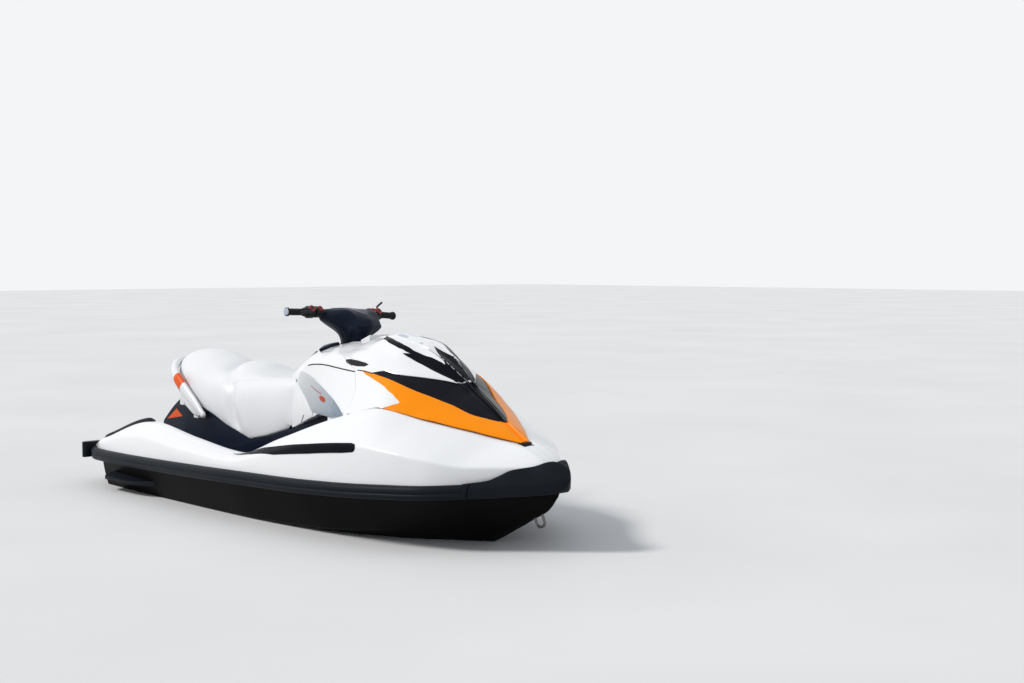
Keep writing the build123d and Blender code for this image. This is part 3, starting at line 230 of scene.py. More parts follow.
def glass(name, colour, shade):
    """The dark glass over the gauge."""
    n = Nodes(name)
    n.paint(n.spread(n.noise(30.0), 0.0, 1.0, 0.3, 0.7), colour, shade)
    n.set(Roughness=0.08, Coat_Weight=1.0, Coat_Roughness=0.03)
    return n.material


# Each material's kind, its colour or two colours, and what that kind takes after them
FINISHES = {
    "hull_black": (gelcoat, (0.0038, 0.0036, 0.0040), (0.0050, 0.0046, 0.0046), 0.46, 0.0, 0.04),
    "deck_white": (gelcoat, (0.84, 0.85, 0.87), (0.80, 0.805, 0.815), 0.22, 0.35),
    "cowl_white": (gelcoat, (0.85, 0.86, 0.88), (0.81, 0.815, 0.825), 0.18, 0.45),
    "rail_black": (moulded, (0.0042, 0.0066, 0.0110), (0.009, 0.012, 0.017), 0.46, 0.12, 300.0),
    "black_plastic": (moulded, (0.0055, 0.006, 0.008), (0.014, 0.015, 0.018), 0.4, 0.22),
    # dark plastic whose navy tint is a painted reflection of the blue sky
    "navy_plastic": (moulded, (0.0020, 0.0062, 0.0190), (0.004, 0.010, 0.024), 0.40, 0.14),
    "mat_foam": (foam, (0.008, 0.010, 0.014), (0.022, 0.024, 0.028)),
    "seat_vinyl": (vinyl, (0.79, 0.80, 0.82), (0.72, 0.73, 0.755)),
    "white_plastic": (gelcoat, (0.80, 0.81, 0.83), (0.72, 0.725, 0.735), 0.26, 0.3),
    # silver with painted light and shade: pale where lit at the back and top, deep blue-grey at the front
    # and foot
    "silver_trim": (satin_painted_shading, (0.62, 0.64, 0.655), (0.15, 0.205, 0.27)),
    "gauge_glass": (glass, (0.006, 0.008, 0.012), (0.014, 0.018, 0.024)),
    "hood_orange": (gelcoat, (0.99, 0.285, 0.0), (0.97, 0.25, 0.0), 0.32, 0.0, 0.16),
    "insert_black": (gelcoat, (0.0040, 0.0046, 0.0090), (0.0060, 0.0066, 0.0115), 0.30, 0.03, 0.09),
    "bar_steel": (metal, (0.05, 0.052, 0.055), 0.4),
    "grip_rubber": (moulded, (0.009, 0.009, 0.010), (0.022, 0.022, 0.023), 0.72, 0.3, 700.0, 0.0004),
    "jet_metal": (metal, (0.50, 0.505, 0.51), 0.42, 0.0004),
    "jet_plastic": (moulded, (0.012, 0.013, 0.015), (0.04, 0.04, 0.042), 0.5),
    "impeller_steel": (metal, (0.58, 0.585, 0.59), 0.24, 0.0001, (0.1, 1, 1)),
    "engine_grey": (metal, (0.20, 0.205, 0.21), 0.5, 0.0006),
    "button_red": (moulded, (0.42, 0.010, 0.008), (0.55, 0.05, 0.03), 0.3),
    "mark_orange": (gelcoat, (0.80, 0.105, 0.010), (0.64, 0.080, 0.008), 0.36, 0.0, 0.2),
    "mark_red": (gelcoat, (0.40, 0.045, 0.016), (0.32, 0.036, 0.012), 0.4, 0.0, 0.2),
    "eye_steel": (metal, (0.16, 0.155, 0.15), 0.4),
    "film_black": (gelcoat, (0.0028, 0.0036, 0.0070), (0.0046, 0.0056, 0.0095), 0.34, 0.0, 0.06),
    "badge_blue": (gelcoat, (0.44, 0.51, 0.62), (0.36, 0.43, 0.54), 0.25, 0.3),
    # the top pad's pale plum is a painted sheen: the sky's reflection on its top face, put in its colour
    "pad_plum": (moulded, (0.058, 0.052, 0.088), (0.090, 0.082, 0.120), 0.5, 0.3, 300.0),
    # dark seams and joints, and also the painted shadow laid in each air scoop
    "seam_dark": (moulded, (0.006, 0.006, 0.007), (0.016, 0.016, 0.017), 0.7),
}
MATERIALS = {name: make(name, *values) for name, (make, *values) in FINISHES.items()}


# Shapes

MERGE = 0.00002   # metres within which points are one
DOME_TURNS = (25, 50, 70, 83)
BEAD_SINK = 0.8


def columns(rows, xs):
    """A table's rows at each x, along smooth curves that never pass beyond the rows beside them."""
    table = np.array([tuple(r) for r in rows], float)
    x, values = table[:, 0], table[:, 1:]
    width = np.diff(x)[:, None]
    slope = np.diff(values, axis=0) / width
    tangent = np.vstack([slope[:1], np.zeros_like(slope[1:]), slope[-1:]])
    product = slope[:-1] * slope[1:]
    safe = np.where(product > 0, slope[:-1] + slope[1:], 1.0)
    tangent[1:-1] = np.where(product > 0, 2 * product / safe, 0.0)
    xs = np.clip(np.asarray(xs, float), x[0], x[-1])
    k = np.clip(np.searchsorted(x, xs, side="right") - 1, 0, len(x) - 2)
    w = width[k]
    t = (xs[:, None] - x[k][:, None]) / w
    found = hermite(values[k], values[k + 1], tangent[k], tangent[k + 1], t, w)
    return [type(rows[0])(a, *b) for a, b in zip(xs, found)]


def hermite(start, end, slope_a, slope_b, t, width):
    """A cubic curve from start to end, with a slope at each, at shares t of its width."""
    return ((2 * t**3 - 3 * t**2 + 1) * start + (t**3 - 2 * t**2 + t) * width * slope_a
            + (3 * t**2 - 2 * t**3) * end + (t**3 - t**2) * width * slope_b)


def smooth_path(points, step, closed=False):
    """Places about a step apart along a smooth curve through points."""
    p = np.array(points, float)
    if closed:
        p = np.vstack([p[-2:], p, p[:2]])
    t = np.concatenate([[0.0], np.cumsum(np.linalg.norm(np.diff(p, axis=0), axis=1))])
    slope = np.gradient(p, t, axis=0)
    start, end = (t[2], t[-2]) if closed else (t[0], t[-1])
    s = np.linspace(start, end, max(2, round((end - start) / step) + 1))
    k = np.clip(np.searchsorted(t, s, side="right") - 1, 0, len(t) - 2)
    w = (t[k + 1] - t[k])[:, None]
    return hermite(p[k], p[k + 1], slope[k], slope[k + 1], (s - t[k])[:, None] / w, w)


def spaced(breaks, step):
    """Places along x: every break, and between breaks about a step apart."""
    xs = []
    for a, b in zip(breaks, breaks[1:]):
        count = max(1, round((b - a) / step))
        xs += [a + (b - a) * i / count for i in range(count)]
    return xs + [breaks[-1]]


def rounded(points, radii, corner=5, run=2, closed=False, bulges=None):
    """A polygon with rounded corners, always as many points for as many corners.
    A bulge crowns the run after its corner, to the left of the way the points go."""
    p = [np.array(q, float) for q in points]
    count = len(p)
    bulges = bulges or [0.0] * count
    ends = []
    for i in range(count):
        if not closed and i in (0, count - 1):
            ends.append((p[i], p[i], [p[i]]))
            continue
        before, after = p[i - 1] - p[i], p[(i + 1) % count] - p[i]
        cut_a = min(radii[i], 0.47 * np.linalg.norm(before))
        cut_b = min(radii[i], 0.47 * np.linalg.norm(after))
        a = p[i] + before * cut_a / max(np.linalg.norm(before), 1e-9)
        b = p[i] + after * cut_b / max(np.linalg.norm(after), 1e-9)
        steps = [j / (corner - 1) for j in range(corner)]
        ends.append((a, b, [(1 - t)**2 * a + 2 * t * (1 - t) * p[i] + t**2 * b for t in steps]))
    out = []
    for i in range(count):
        out += ends[i][2]
        if closed or i < count - 1:
            a, b = ends[i][1], ends[(i + 1) % count][0]
            along = b - a
            left = np.array([-along[1], along[0]]) / max(np.linalg.norm(along), 1e-9)
            for j in range(1, run + 1):
                t = j / (run + 1)
                out.append(a + along * t + left * bulges[i] * 4 * t * (1 - t))
    return np.array(out)


def section_at(x, outline):
    return [(x, y, z) for y, z in outline]


def grid_along(xs, outline, *tables):
    """The points of the section that outline gives from each table's row there, at each x."""
    found = zip(*(columns(table, xs) for table in tables))
    return np.array([section_at(x, outline(*rows)) for x, rows in zip(xs, found)])


def grid_faces(rows, cols, wrap=False):
    """Quads between the points of a grid, listed row by row."""
    across = cols if wrap else cols - 1
    return [(i * cols + j, i * cols + (j + 1) % cols, (i + 1) * cols + (j + 1) % cols, (i + 1) * cols + j)
            for i in range(rows - 1) for j in range(across)]


def add_object(name, verts, faces):
    """A mesh object from points in millimetres."""
    mesh = bpy.data.meshes.new(name)
    mesh.from_pydata([tuple(c * MM for c in v) for v in verts], [], faces)
    mesh.update()
    piece = bpy.data.objects.new(name, mesh)
    bpy.context.scene.collection.objects.link(piece)
    return piece


def sheet_grid(name, grid, drop=None):
    """An open sheet through a grid of points. drop(face middle) says which faces are left out."""
    rows, cols = grid.shape[:2]
    verts = grid.reshape(-1, 3)
    faces = grid_faces(rows, cols)
    if drop is not None:
        faces = [f for f in faces if not drop(verts[list(f)].mean(0))]
    piece = add_object(name, verts, faces)
    clean(piece)
    return piece


def tube_grid(name, grid):
    """A closed body through a grid whose rows are closed outlines, with its two ends filled."""
    rows, cols = grid.shape[:2]
    ends = [tuple(range(start, start + cols)) for start in (0, (rows - 1) * cols)]
    faces = grid_faces(rows, cols, True) + ends
    piece = add_object(name, grid.reshape(-1, 3), faces)
    clean(piece, outwards=True)
    return piece


def clean(piece, outwards=False):
    """Joins points that fall together, drops loose ones and turns a closed body's faces outwards."""
    bm = bmesh.new()
    bm.from_mesh(piece.data)
    bmesh.ops.remove_doubles(bm, verts=bm.verts, dist=MERGE)
    bmesh.ops.dissolve_degenerate(bm, edges=bm.edges, dist=MERGE)
    bmesh.ops.delete(bm, geom=[v for v in bm.verts if not v.link_faces], context="VERTS")
    if outwards:
        bmesh.ops.recalc_face_normals(bm, faces=bm.faces)
    bm.to_mesh(piece.data)
    bm.free()


def modified(piece, kind, **settings):
    """Adds a modifier, applies it and leaves the result as the piece's mesh."""
    modifier = piece.modifiers.new(kind.lower(), kind)
    for key, value in settings.items():
        setattr(modifier, key, value)
    bpy.context.view_layer.update()
    done = bpy.data.meshes.new_from_object(piece.evaluated_get(bpy.context.evaluated_depsgraph_get()))
    piece.modifiers.clear()
    piece.data = done
    return piece


def thick(piece, thickness, bevel=1.2):
    """Gives a sheet its thickness behind its face, and softens the rim."""
    modified(piece, "SOLIDIFY", thickness=thickness * MM, offset=-1.0, use_quality_normals=True)
    if bevel:
        soften(piece, bevel, 55.0)
    return piece


def soften(piece, width, degrees=40.0, segments=2):
    return modified(piece, "BEVEL", width=width * MM, segments=segments, limit_method="ANGLE",
                    angle_limit=math.radians(degrees), use_clamp_overlap=True)


def boolean(piece, cutter, operation="DIFFERENCE"):
    """Cuts, joins or intersects two closed bodies."""
    modified(piece, "BOOLEAN", object=cutter, operation=operation, solver="MANIFOLD")
    bpy.data.objects.remove(cutter)
    return piece


def joined(name, pieces):
    """Several objects as one mesh."""
    bm = bmesh.new()
    for piece in pieces:
        piece.data.transform(piece.matrix_world)
        bm.from_mesh(piece.data)
        bpy.data.objects.remove(piece)
    whole = add_object(name, [], [])
    bm.to_mesh(whole.data)
    bm.free()
    return whole


def prism(name, points, low, high, axis="y"):
    """A prism whose outline is in side view (axis y), in plan (axis z) or in end view (axis x)."""
    order = {"y": (0, 2, 1), "z": (0, 1, 2), "x": (2, 0, 1)}[axis]
    grid = np.array([[(a, b, level) for a, b in points] for level in sorted((low, high))], float)
    return tube_grid(name, grid[..., order])


def block(name, one, other):
    """A box between two opposite corners."""
    (x, y, z), (far_x, far_y, far_z) = np.minimum(one, other), np.maximum(one, other)
    return prism(name, [(x, y), (far_x, y), (far_x, far_y), (x, far_y)], z, far_z, "z")


def turns(count):
    """Angles all round, evenly spaced."""
    return [2 * math.pi * k / count for k in range(count)]


def turned(name, start, direction, profile, around=32):
    """A round body from pairs of distance along its axis and radius."""
    axis = Vector(direction).normalized()
    side = axis.orthogonal().normalized()
    other = axis.cross(side)
    spokes = [side * math.cos(a) + other * math.sin(a) for a in turns(around)]
    grid = [[Vector(start) + axis * along + spoke * radius for spoke in spokes] for along, radius in profile]
    return tube_grid(name, np.array(grid))


def unit(vectors):
    return vectors / np.maximum(np.linalg.norm(vectors, axis=-1, keepdims=True), 1e-9)


def swept(name, path, radii, sides=20, up=(0.0, 0.0, 1.0), domed=True):
    """A body with an elliptical section along a path. The radii, one pair or a pair for each place, are
    across the path and towards up."""
    path = np.array(path, float)
    radii = np.broadcast_to(np.array(radii, float), (len(path), 2))
    tangent = unit(np.gradient(path, axis=0))
    if domed:
        turn = np.radians(DOME_TURNS)[:, None]
        caps = [(path[k] + tangent[k] * sign * radii[k].min() * np.sin(turn), radii[k] * np.cos(turn),
                 tangent[k] + 0 * turn) for k, sign in ((0, -1), (-1, 1))]
        path, radii, tangent = (np.vstack([first[::-1], middle, last])
                                for first, middle, last in zip(caps[0], (path, radii, tangent), caps[1]))
    side = unit(np.cross(tangent, np.array(up, float)))
    other = np.cross(side, tangent)
    turn = np.linspace(0, 2 * math.pi, sides, endpoint=False)
    grid = (path[:, None] + side[:, None] * (radii[:, :1] * np.cos(turn))[..., None]
            + other[:, None] * (radii[:, 1:] * np.sin(turn))[..., None])
    return tube_grid(name, grid)


def skin(*pieces):
    """What shows of several pieces, for laying others on it."""
    bm = bmesh.new()
    for piece in pieces:
        bm.from_mesh(piece.data if hasattr(piece, "data") else bpy.data.objects[piece].data)
    tree = BVHTree.FromBMesh(bm)
    bm.free()
    return tree


def dropped(place, aim, tree, far=400.0):
    """Where a place near a surface lands on it along aim, and the surface's outward direction there."""
    aim = Vector(aim).normalized()
    start = Vector(place) * MM - aim * far * MM
    hit, normal, _, _ = tree.ray_cast(start, aim)
    if hit is None:
        hit, normal, _, _ = tree.find_nearest(Vector(place) * MM)
    if normal.dot(aim) > 0:
        normal = -normal
    return np.array(hit) / MM, np.array(normal)


def laid(name, outline, tree, aim, step=8.0, lift=0.8, sink=1.2):
    """A thin sheet on a surface. Its outline, of places near the surface, goes on to it along aim."""
    aim = Vector(aim).normalized()
    side = aim.orthogonal().normalized()
    other = aim.cross(side)
    places = [Vector(q) for q in outline]
    depth = sum(q.dot(aim) for q in places) / len(places)
    edge = []
    for a, b in zip(places, places[1:] + places[:1]):
        flat_a, flat_b = (np.array([q.dot(side), q.dot(other)]) for q in (a, b))
        count = max(1, math.ceil(np.linalg.norm(flat_b - flat_a) / step))
        edge += [flat_a + (flat_b - flat_a) * k / count for k in range(count)]
    edge = np.array(edge)
    ahead = np.roll(edge, -1, axis=0)
    low, high = edge.min(0), edge.max(0)
    inner = []
    for i, u in enumerate(np.arange(low[0], high[0], step)):
        for v in np.arange(low[1] + 0.5 * step * (i % 2), high[1], step):
            q = np.array([u, v])
            run = ahead - edge
            t = np.clip(((q - edge) * run).sum(1) / np.maximum((run**2).sum(1), 1e-9), 0, 1)
            gap = np.linalg.norm(edge + run * t[:, None] - q, axis=1).min()
            over = (edge[:, 1] > v) != (ahead[:, 1] > v)
            cross = edge[over, 0] + (v - edge[over, 1]) * run[over, 0] / run[over, 1]
            if gap > 0.5 * step and (cross > u).sum() % 2:
                inner.append(q)
    flat = [Vector(q) for q in edge] + [Vector(q) for q in inner]
    loop = list(range(len(edge)))
    found = delaunay_2d_cdt(flat, [], [loop], 1, 1e-5)
    verts = []
    for q in found[0]:
        place, normal = dropped(side * q[0] + other * q[1] + aim * depth, aim, tree)
        verts.append(tuple(place + normal * lift))
    faces = []
    for face in found[2]:
        a, b, c = (Vector(verts[k]) for k in face[:3])
        faces.append(tuple(face) if (b - a).cross(c - a).dot(aim) < 0 else tuple(reversed(face)))
    piece = add_object(name, verts, faces)
    clean(piece)
    return modified(piece, "SOLIDIFY", thickness=(lift + sink) * MM, offset=-1.0)


def bead(name, points, tree, width, height, aim=None, step=8.0):
    """A low strip along a smooth curve on a surface, with a rounded top."""
    placed = [nearest(q, tree) if aim is None else dropped(q, aim, tree) for q in smooth_path(points, step)]
    centre = np.array([place for place, _ in placed])
    normal = unit(np.array([outward for _, outward in placed]))
    across = unit(np.cross(unit(np.gradient(centre, axis=0)), normal))
    half = 0.5 * width
    rise = [(-1, -BEAD_SINK / height), (-1, 0.25), (-0.8, 0.8), (-0.35, 1)]
    section = [(a * half, b * height) for a, b in rise + [(-a, b) for a, b in rise[::-1]]]
    return tube_grid(name, np.stack([centre + across * a + normal * b for a, b in section], axis=1))


def nearest(place, tree):
    hit, normal, _, _ = tree.find_nearest(Vector(place) * MM)
    return np.array(hit) / MM, np.array(normal)


def finished(piece, material, body, nodes=(), angle=32.0):
    """Gives a piece its smooth shading and material, puts it in its body and hides the nodes of the frame
    that it stands for.
    """
    for polygon in piece.data.polygons:
        polygon.use_smooth = True
    piece.data.set_sharp_from_angle(angle=math.radians(angle))
    piece.data.materials.clear()
    piece.data.materials.append(MATERIALS[material])
    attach(piece, body)
    if nodes:
        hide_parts(*nodes)
    return piece


# Deck: one moulded sheet from the rub rail over the gunwale to the footwell floor

Deck = namedtuple("Deck", "x rail_y rail_z knuckle_y knuckle_z edge_y edge_z")
DECK = [
    Deck(-1640, 470, 200, 432, 212, 415, 222),
    Deck(-1480, 530, 205, 492, 245, 452, 268),
    Deck(-950, 589, 221, 540, 320, 470, 393),
    Deck(-500, 607, 234, 565, 300, 488, 348),
    Deck(-80, 614, 247, 572, 290, 498, 316),
    Deck(250, 610, 256, 562, 350, 478, 415),
    Deck(500, 598, 262, 548, 405, 448, 500),
    Deck(640, 586, 267, 538, 425, 392, 548),
    Deck(850, 556, 275, 512, 440, 370, 592),
    Deck(1050, 507, 285, 470, 425, 278, 545),
    Deck(1200, 448, 291, 404, 400, 184, 508),
    Deck(1350, 314, 300, 282, 372, 84, 468),
    Deck(1470, 199, 314, 168, 372, 58, 440),
    Deck(1560, 116, 338, 84, 372, 44, 400),
    Deck(1612, 66, 345, 34, 352, 22, 358),
]
RAIL_INSET = 36.0
HULL_TOP_DROP = 30.0
GUNWALE = 42.0   # width of the flat on top of the side
FLOOR_PLACES = [(-1640, 205), (-1150, 205), (-950, 70), (350, 70), (430, 230)]   # pairs of x and z
WELL_FRONT_X = 430.0
FLOOR_BREAKS = [x for x, _ in FLOOR_PLACES]
BAY_MOUTH_Z = 100.0   # below this height the deck is left open over the engine bay
BAY = (-800.0, -80.0, 150.0)                   # engine bay: x at its ends, and half its width
BIN = (640.0, 1100.0, 250.0, 130.0)            # storage bin: x at its ends, and half its width there
HINGE_POCKET = (1396.0, 1449.0, 30.0, 424.0)   # x at its ends, half its width, and its floor
DECK_WALL = 5.0
ABOVE_ALL = 700.0   # height that every cut of the lower body runs up to
GRID_STEP = 16.0


def deck_outline(row, zone):
    """Half of the deck's section, from its foot behind the rail to the keel line or the bin's edge."""
    side, edge_y, edge_z = row.rail_y - RAIL_INSET, row.edge_y, row.edge_z
    inner = edge_y - min(GUNWALE, 0.3 * edge_y)
    floor = np.interp(row.x, *zip(*FLOOR_PLACES))
    pocket_half, pocket_z = HINGE_POCKET[2:]
    middle = {
        "well": [(inner, floor), (BAY[2], floor), (0, floor)],
        "bow": [(0.5 * (inner + 0.3 * edge_y), edge_z + 1), (0.3 * edge_y, edge_z + 2), (0, edge_z + 3)],
        "bin": [(bin_half(row.x) + 8, edge_z), (bin_half(row.x), edge_z), (bin_half(row.x), edge_z - 25)],
        "hinge": [(pocket_half, edge_z), (pocket_half, pocket_z), (0, pocket_z)],
    }[zone]
    points = [(side, row.rail_z - HULL_TOP_DROP), (side, row.rail_z), (row.knuckle_y, row.knuckle_z),
              (edge_y, edge_z), (inner, edge_z + 1)] + middle
    round_foot = 24.0 if zone == "well" else 3.0
    return rounded(points, [0, 4, 12, 15, 13, round_foot, 2, 0], corner=5, run=3,
                   bulges=[0, -1.5, -3.0, 0, 0, 0, 0, 0])


def bin_half(x):
    return BIN[2] + (BIN[3] - BIN[2]) * (x - BIN[0]) / (BIN[1] - BIN[0])


def mirrored(half):
    """A whole section from its port half, whose last point serves for both sides."""
    return [tuple(q) for q in half] + [(-y, z) for y, z in half[-2::-1]]


def closed_section(half):
    """A closed section from its port half, which starts and ends on the keel line."""
    return mirrored(half)[:-1]


def make_deck():
    zones = [("well", sorted([*FLOOR_BREAKS, *BAY[:2]])), ("bow", [WELL_FRONT_X, BIN[0]]),
             ("bin", BIN[:2]), ("bow", [BIN[1], HINGE_POCKET[0]]), ("hinge", HINGE_POCKET[:2]),
             ("bow", [HINGE_POCKET[1], DECK[-1].x])]
    grid = np.vstack([grid_along(spaced(breaks, GRID_STEP),
                                 lambda row: mirrored(deck_outline(row, zone)), DECK)
                      for zone, breaks in zones])
    ends = grid[[0, -1]]
    for end, row in zip(ends, (DECK[0], DECK[-1])):
        end[:, 2] = np.minimum(end[:, 2], row.rail_z - HULL_TOP_DROP)
    grid = np.vstack([ends[:1], grid, ends[1:]])

    def opening(middle):
        x, y, z = middle
        in_bay = BAY[0] < x < BAY[1] and abs(y) < BAY[2] and z < BAY_MOUTH_Z
        in_bin = BIN[0] < x < BIN[1] and abs(y) < bin_half(x) - 0.5
        return in_bay or in_bin

    deck = sheet_grid("deck_shell", grid, opening)
    thick(deck, DECK_WALL, 0)
    finished(deck, "deck_white", "craft", ["deck"], 28.0)


# Hull

Bottom = namedtuple("Bottom", "x keel_z pad_y pad_z chine_y chine_z")
BOTTOM = [
    Bottom(-1640, -130, 140, -119, 440, 0),
    Bottom(-950, -130, 140, -119, 472, 5),
    Bottom(-80, -130, 110, -104, 482, 12),
    Bottom(500, -126, 60, -104, 452, 28),
    Bottom(850, -102, 40, -88, 395, 60),
    Bottom(1050, -60, 36, -46, 330, 95),
    Bottom(1200, -10, 32, 4, 260, 130),
    Bottom(1350, 65, 28, 78, 165, 170),
    Bottom(1470, 130, 20, 140, 95, 200),
    Bottom(1560, 180, 12, 188, 48, 225),
    Bottom(1612, 240, 6, 246, 18, 264),
]
TRANSOM_X = -1480.0
WELL_BACK_X, WELL_STEP = -1300.0, 40.0
RAIL_HEIGHT, RAIL_FRONT_X = 62.0, 1350.0
HULL_BREAKS = [TRANSOM_X, -950, -80, 500, 1050, RAIL_FRONT_X, DECK[-1].x]
TUNNEL_FRONT_X, TUNNEL_HALF, TUNNEL_TOP = -1250.0, 125.0, 112.0
TRANSOM_HOLES = [(210, 20, 14), (-210, 20, 14), (-300, 120, 13)]   # y, z and radius: drains and flush port
HOLE_DEPTH = 40.0
DUCT_CHANNEL = [(-1250, -200), (-1250, 84.3), (-1110, 84.3), (-950, 48.3), (-800, 48.3), (-800, -200)]
DUCT_CHANNEL_HALF = 95.3


def hull_outline(top, low):
    side = top.rail_y - RAIL_INSET
    return mirrored(rounded(
        [(side, top.rail_z - HULL_TOP_DROP - 0.3), (side - 14, top.rail_z - RAIL_HEIGHT),
         (low.chine_y, low.chine_z), (low.chine_y - 10, low.chine_z - 9), (low.pad_y, low.pad_z),
         (0, low.keel_z)],
        [0, 6, 5, 5, 8, 0], corner=4, run=3, bulges=[0, 3, 0, -3, 0, 0]))


def well_outline(row):
    """The section of the room for the riders' legs, with the deck's wall round it."""
    wall = DECK_WALL + 1
    half, low = row.edge_y - GUNWALE + wall, np.interp(row.x, *zip(*FLOOR_PLACES)) - wall
    return [(half, low), (half, ABOVE_ALL), (-half, ABOVE_ALL), (-half, low)]


def make_hull():
    hull = tube_grid("hull_shell", grid_along(spaced(HULL_BREAKS, GRID_STEP), hull_outline, DECK, BOTTOM))
    well_xs = spaced([WELL_BACK_X, *FLOOR_BREAKS[1:-1], WELL_FRONT_X + 4], WELL_STEP)
    boolean(hull, tube_grid("well", grid_along(well_xs, well_outline, DECK)))
    boolean(hull, bay_room())
    tunnel_far = (TUNNEL_FRONT_X, TUNNEL_HALF, TUNNEL_TOP)
    boolean(hull, block("tunnel", (TRANSOM_X - 20, -TUNNEL_HALF, -160), tunnel_far))
    boolean(hull, prism("duct", DUCT_CHANNEL, -DUCT_CHANNEL_HALF, DUCT_CHANNEL_HALF))
    for y, z, radius in TRANSOM_HOLES:
        profile = [(0, radius), (HOLE_DEPTH + 5, radius)]
        boolean(hull, turned("hole", (TRANSOM_X - 5, y, z), (1, 0, 0), profile))
    finished(hull, "hull_black", "craft", ["hull"], 28.0)


def bay_room():
    """The engine bay's room, which hull and pedestal leave free."""
    return block("bay", (BAY[0], -BAY[2], -50), (BAY[1], BAY[2], ABOVE_ALL))


# Rub rails, bumpers and sponsons

Nose = namedtuple("Nose", "x half foot low_z ridge_z top_half high_z notch")
NOSE = [
    Nose(RAIL_FRONT_X, 319, 12, 238, 284, 311, 304, 0),
    Nose(1420, 250, 12, 241, 290, 238, 318, 0),
    Nose(1455, 217, 12, 244, 296, 200, 338, 0),
    Nose(1490, 188, 12, 248, 300, 164, 362, 0),
    Nose(1560, 126, 13, 254, 304, 92, 380, 0),
    Nose(1612, 80, 14, 260, 310, 50, 400, 14),
    Nose(1643, 49, 14, 266, 319, 26, 398, 20),
    Nose(1664, 27, 14, 282, 330, 14, 384, 14),
    Nose(1684, 7, 5, 318, 338, 4, 358, 4),
]
NOSE_EDGE_X = 1643.0
BUMPER_JOINT = [(1372, 312), (1376, 312), (1366, 230), (1362, 230)]   # groove ahead of the rub rail's end
BUMPER_JOINT_Y = (285, 360)


def rail_section(row):
    """The rub rail's closed section: a soft-edged band with a shallow groove along its face."""
    y, z, height = row.rail_y, row.rail_z, RAIL_HEIGHT
    foot = z - height
    return rounded([(y - RAIL_INSET - 14, foot), (y - 8, foot), (y, foot + 8), (y, foot + 22),
                    (y - 3.5, foot + 25), (y - 3.5, foot + 30), (y, foot + 33), (y, z - 14), (y - 14, z),
                    (y - RAIL_INSET, z), (y - RAIL_INSET, z - HULL_TOP_DROP)],
                   [2, 6, 6, 2, 2, 2, 2, 9, 9, 3, 2], corner=3, run=1, closed=True)


def make_rails():
    xs = spaced([DECK[0].x, TRANSOM_X, RAIL_FRONT_X], GRID_STEP)
    port = grid_along(xs, rail_section, DECK)
    for side, name in SIDES:
        rail = tube_grid(f"rub_rail_{name}", port * [1, side, 1])
        finished(rail, "rail_black", "craft", [f"side_rail_{name}"], 40.0)


def core_outline(top, low):
    """The closed section that deck and hull fill together."""
    side = top.rail_y - RAIL_INSET
    return closed_section(rounded(
        [(0, top.edge_z), (top.edge_y, top.edge_z), (top.knuckle_y, top.knuckle_z), (side, top.rail_z),
         (side, top.rail_z - HULL_TOP_DROP), (side - 14, top.rail_z - RAIL_HEIGHT),
         (low.chine_y, low.chine_z), (0, low.keel_z)],
        [0, 15, 12, 4, 0, 6, 5, 0], corner=4, run=2))


def nose_outline(row):
    return closed_section(rounded(
        [(0, row.low_z), (row.half - row.foot, row.low_z), (row.half, row.low_z + row.foot),
         (row.half, row.ridge_z), (row.top_half, row.high_z), (0.5 * row.top_half, row.high_z),
         (0, row.high_z - row.notch)],
        [0, 7, 7, 5, 6, 4, 0], corner=5, run=2))


def make_bow_bumper():
    edge = [r.x for r in NOSE].index(NOSE_EDGE_X)
    wrap_xs = spaced([RAIL_FRONT_X, 1455, 1490, 1612, NOSE_EDGE_X], 9.0)
    wrap = grid_along(wrap_xs, nose_outline, NOSE[:edge + 1])
    tip = grid_along(spaced([NOSE_EDGE_X, 1664, NOSE[-1].x], 7.0), nose_outline, NOSE[edge:])
    bumper = tube_grid("bow_bumper_shell", np.vstack([wrap, tip[1:]]))
    core_xs = spaced([1200, RAIL_FRONT_X, DECK[-1].x], GRID_STEP)
    boolean(bumper, tube_grid("bow_core", grid_along(core_xs, core_outline, DECK, BOTTOM)))
    for side, _ in SIDES:
        boolean(bumper, prism("joint", BUMPER_JOINT, *(side * y for y in BUMPER_JOINT_Y)))
    finished(bumper, "rail_black", "craft", ["bow_bumper"], 34.0)


STERN_PLAN = [(-1640, 330), (-1668, 330), (-1684, 352), (-1684, 488), (-1672, 508), (-1650, 512),
              (-1640, 496)]
STERN_LOW, STERN_HIGH = 140.0, 226.0
STERN_RIBS, STERN_RIB_Y, STERN_RIB_PITCH, STERN_RIB_WIDE = 5, 368.0, 26.0, 8.0
STERN_RIB_LOW, STERN_RIB_HIGH = (-1690, 158), (-1678, 206)   # x and z of two corners
STERN_GROOVE = [(-1666, 480, 130), (-1661, 530, 240)]


def make_stern_bumpers():
    for side, name in SIDES:
        outline = rounded([(x, side * y) for x, y in STERN_PLAN], [2, 12, 14, 20, 14, 8, 3],
                          corner=5, run=1, closed=True)
        bumper = prism(f"stern_block_{name}", outline, STERN_LOW, STERN_HIGH, "z")
        soften(bumper, 7.0, 50.0, 3)
        (low_x, low_z), (high_x, high_z) = STERN_RIB_LOW, STERN_RIB_HIGH
        for k in range(STERN_RIBS):
            y = STERN_RIB_Y + STERN_RIB_PITCH * k
            corners = (low_x, side * y, low_z), (high_x, side * (y + STERN_RIB_WIDE), high_z)
            boolean(bumper, block("rib", *corners))
        boolean(bumper, block("groove", *((x, side * y, z) for x, y, z in STERN_GROOVE)))
        finished(bumper, "rail_black", "craft", [f"stern_bumper_{name}"], 34.0)


SPONSON_PLAN = [(-1330, 480), (-1316, 548), (-1290, 570), (-1250, 574), (-1060, 574), (-960, 560),
                (-850, 512), (-820, 486), (-820, 474), (-1330, 474)]
SPONSON_LOW, SPONSON_HIGH = 62.0, 92.0
SPONSON_SLOPE = [(500, 92.5), (600, 72), (600, 120), (500, 120)]   # what is cut off the top, in end view


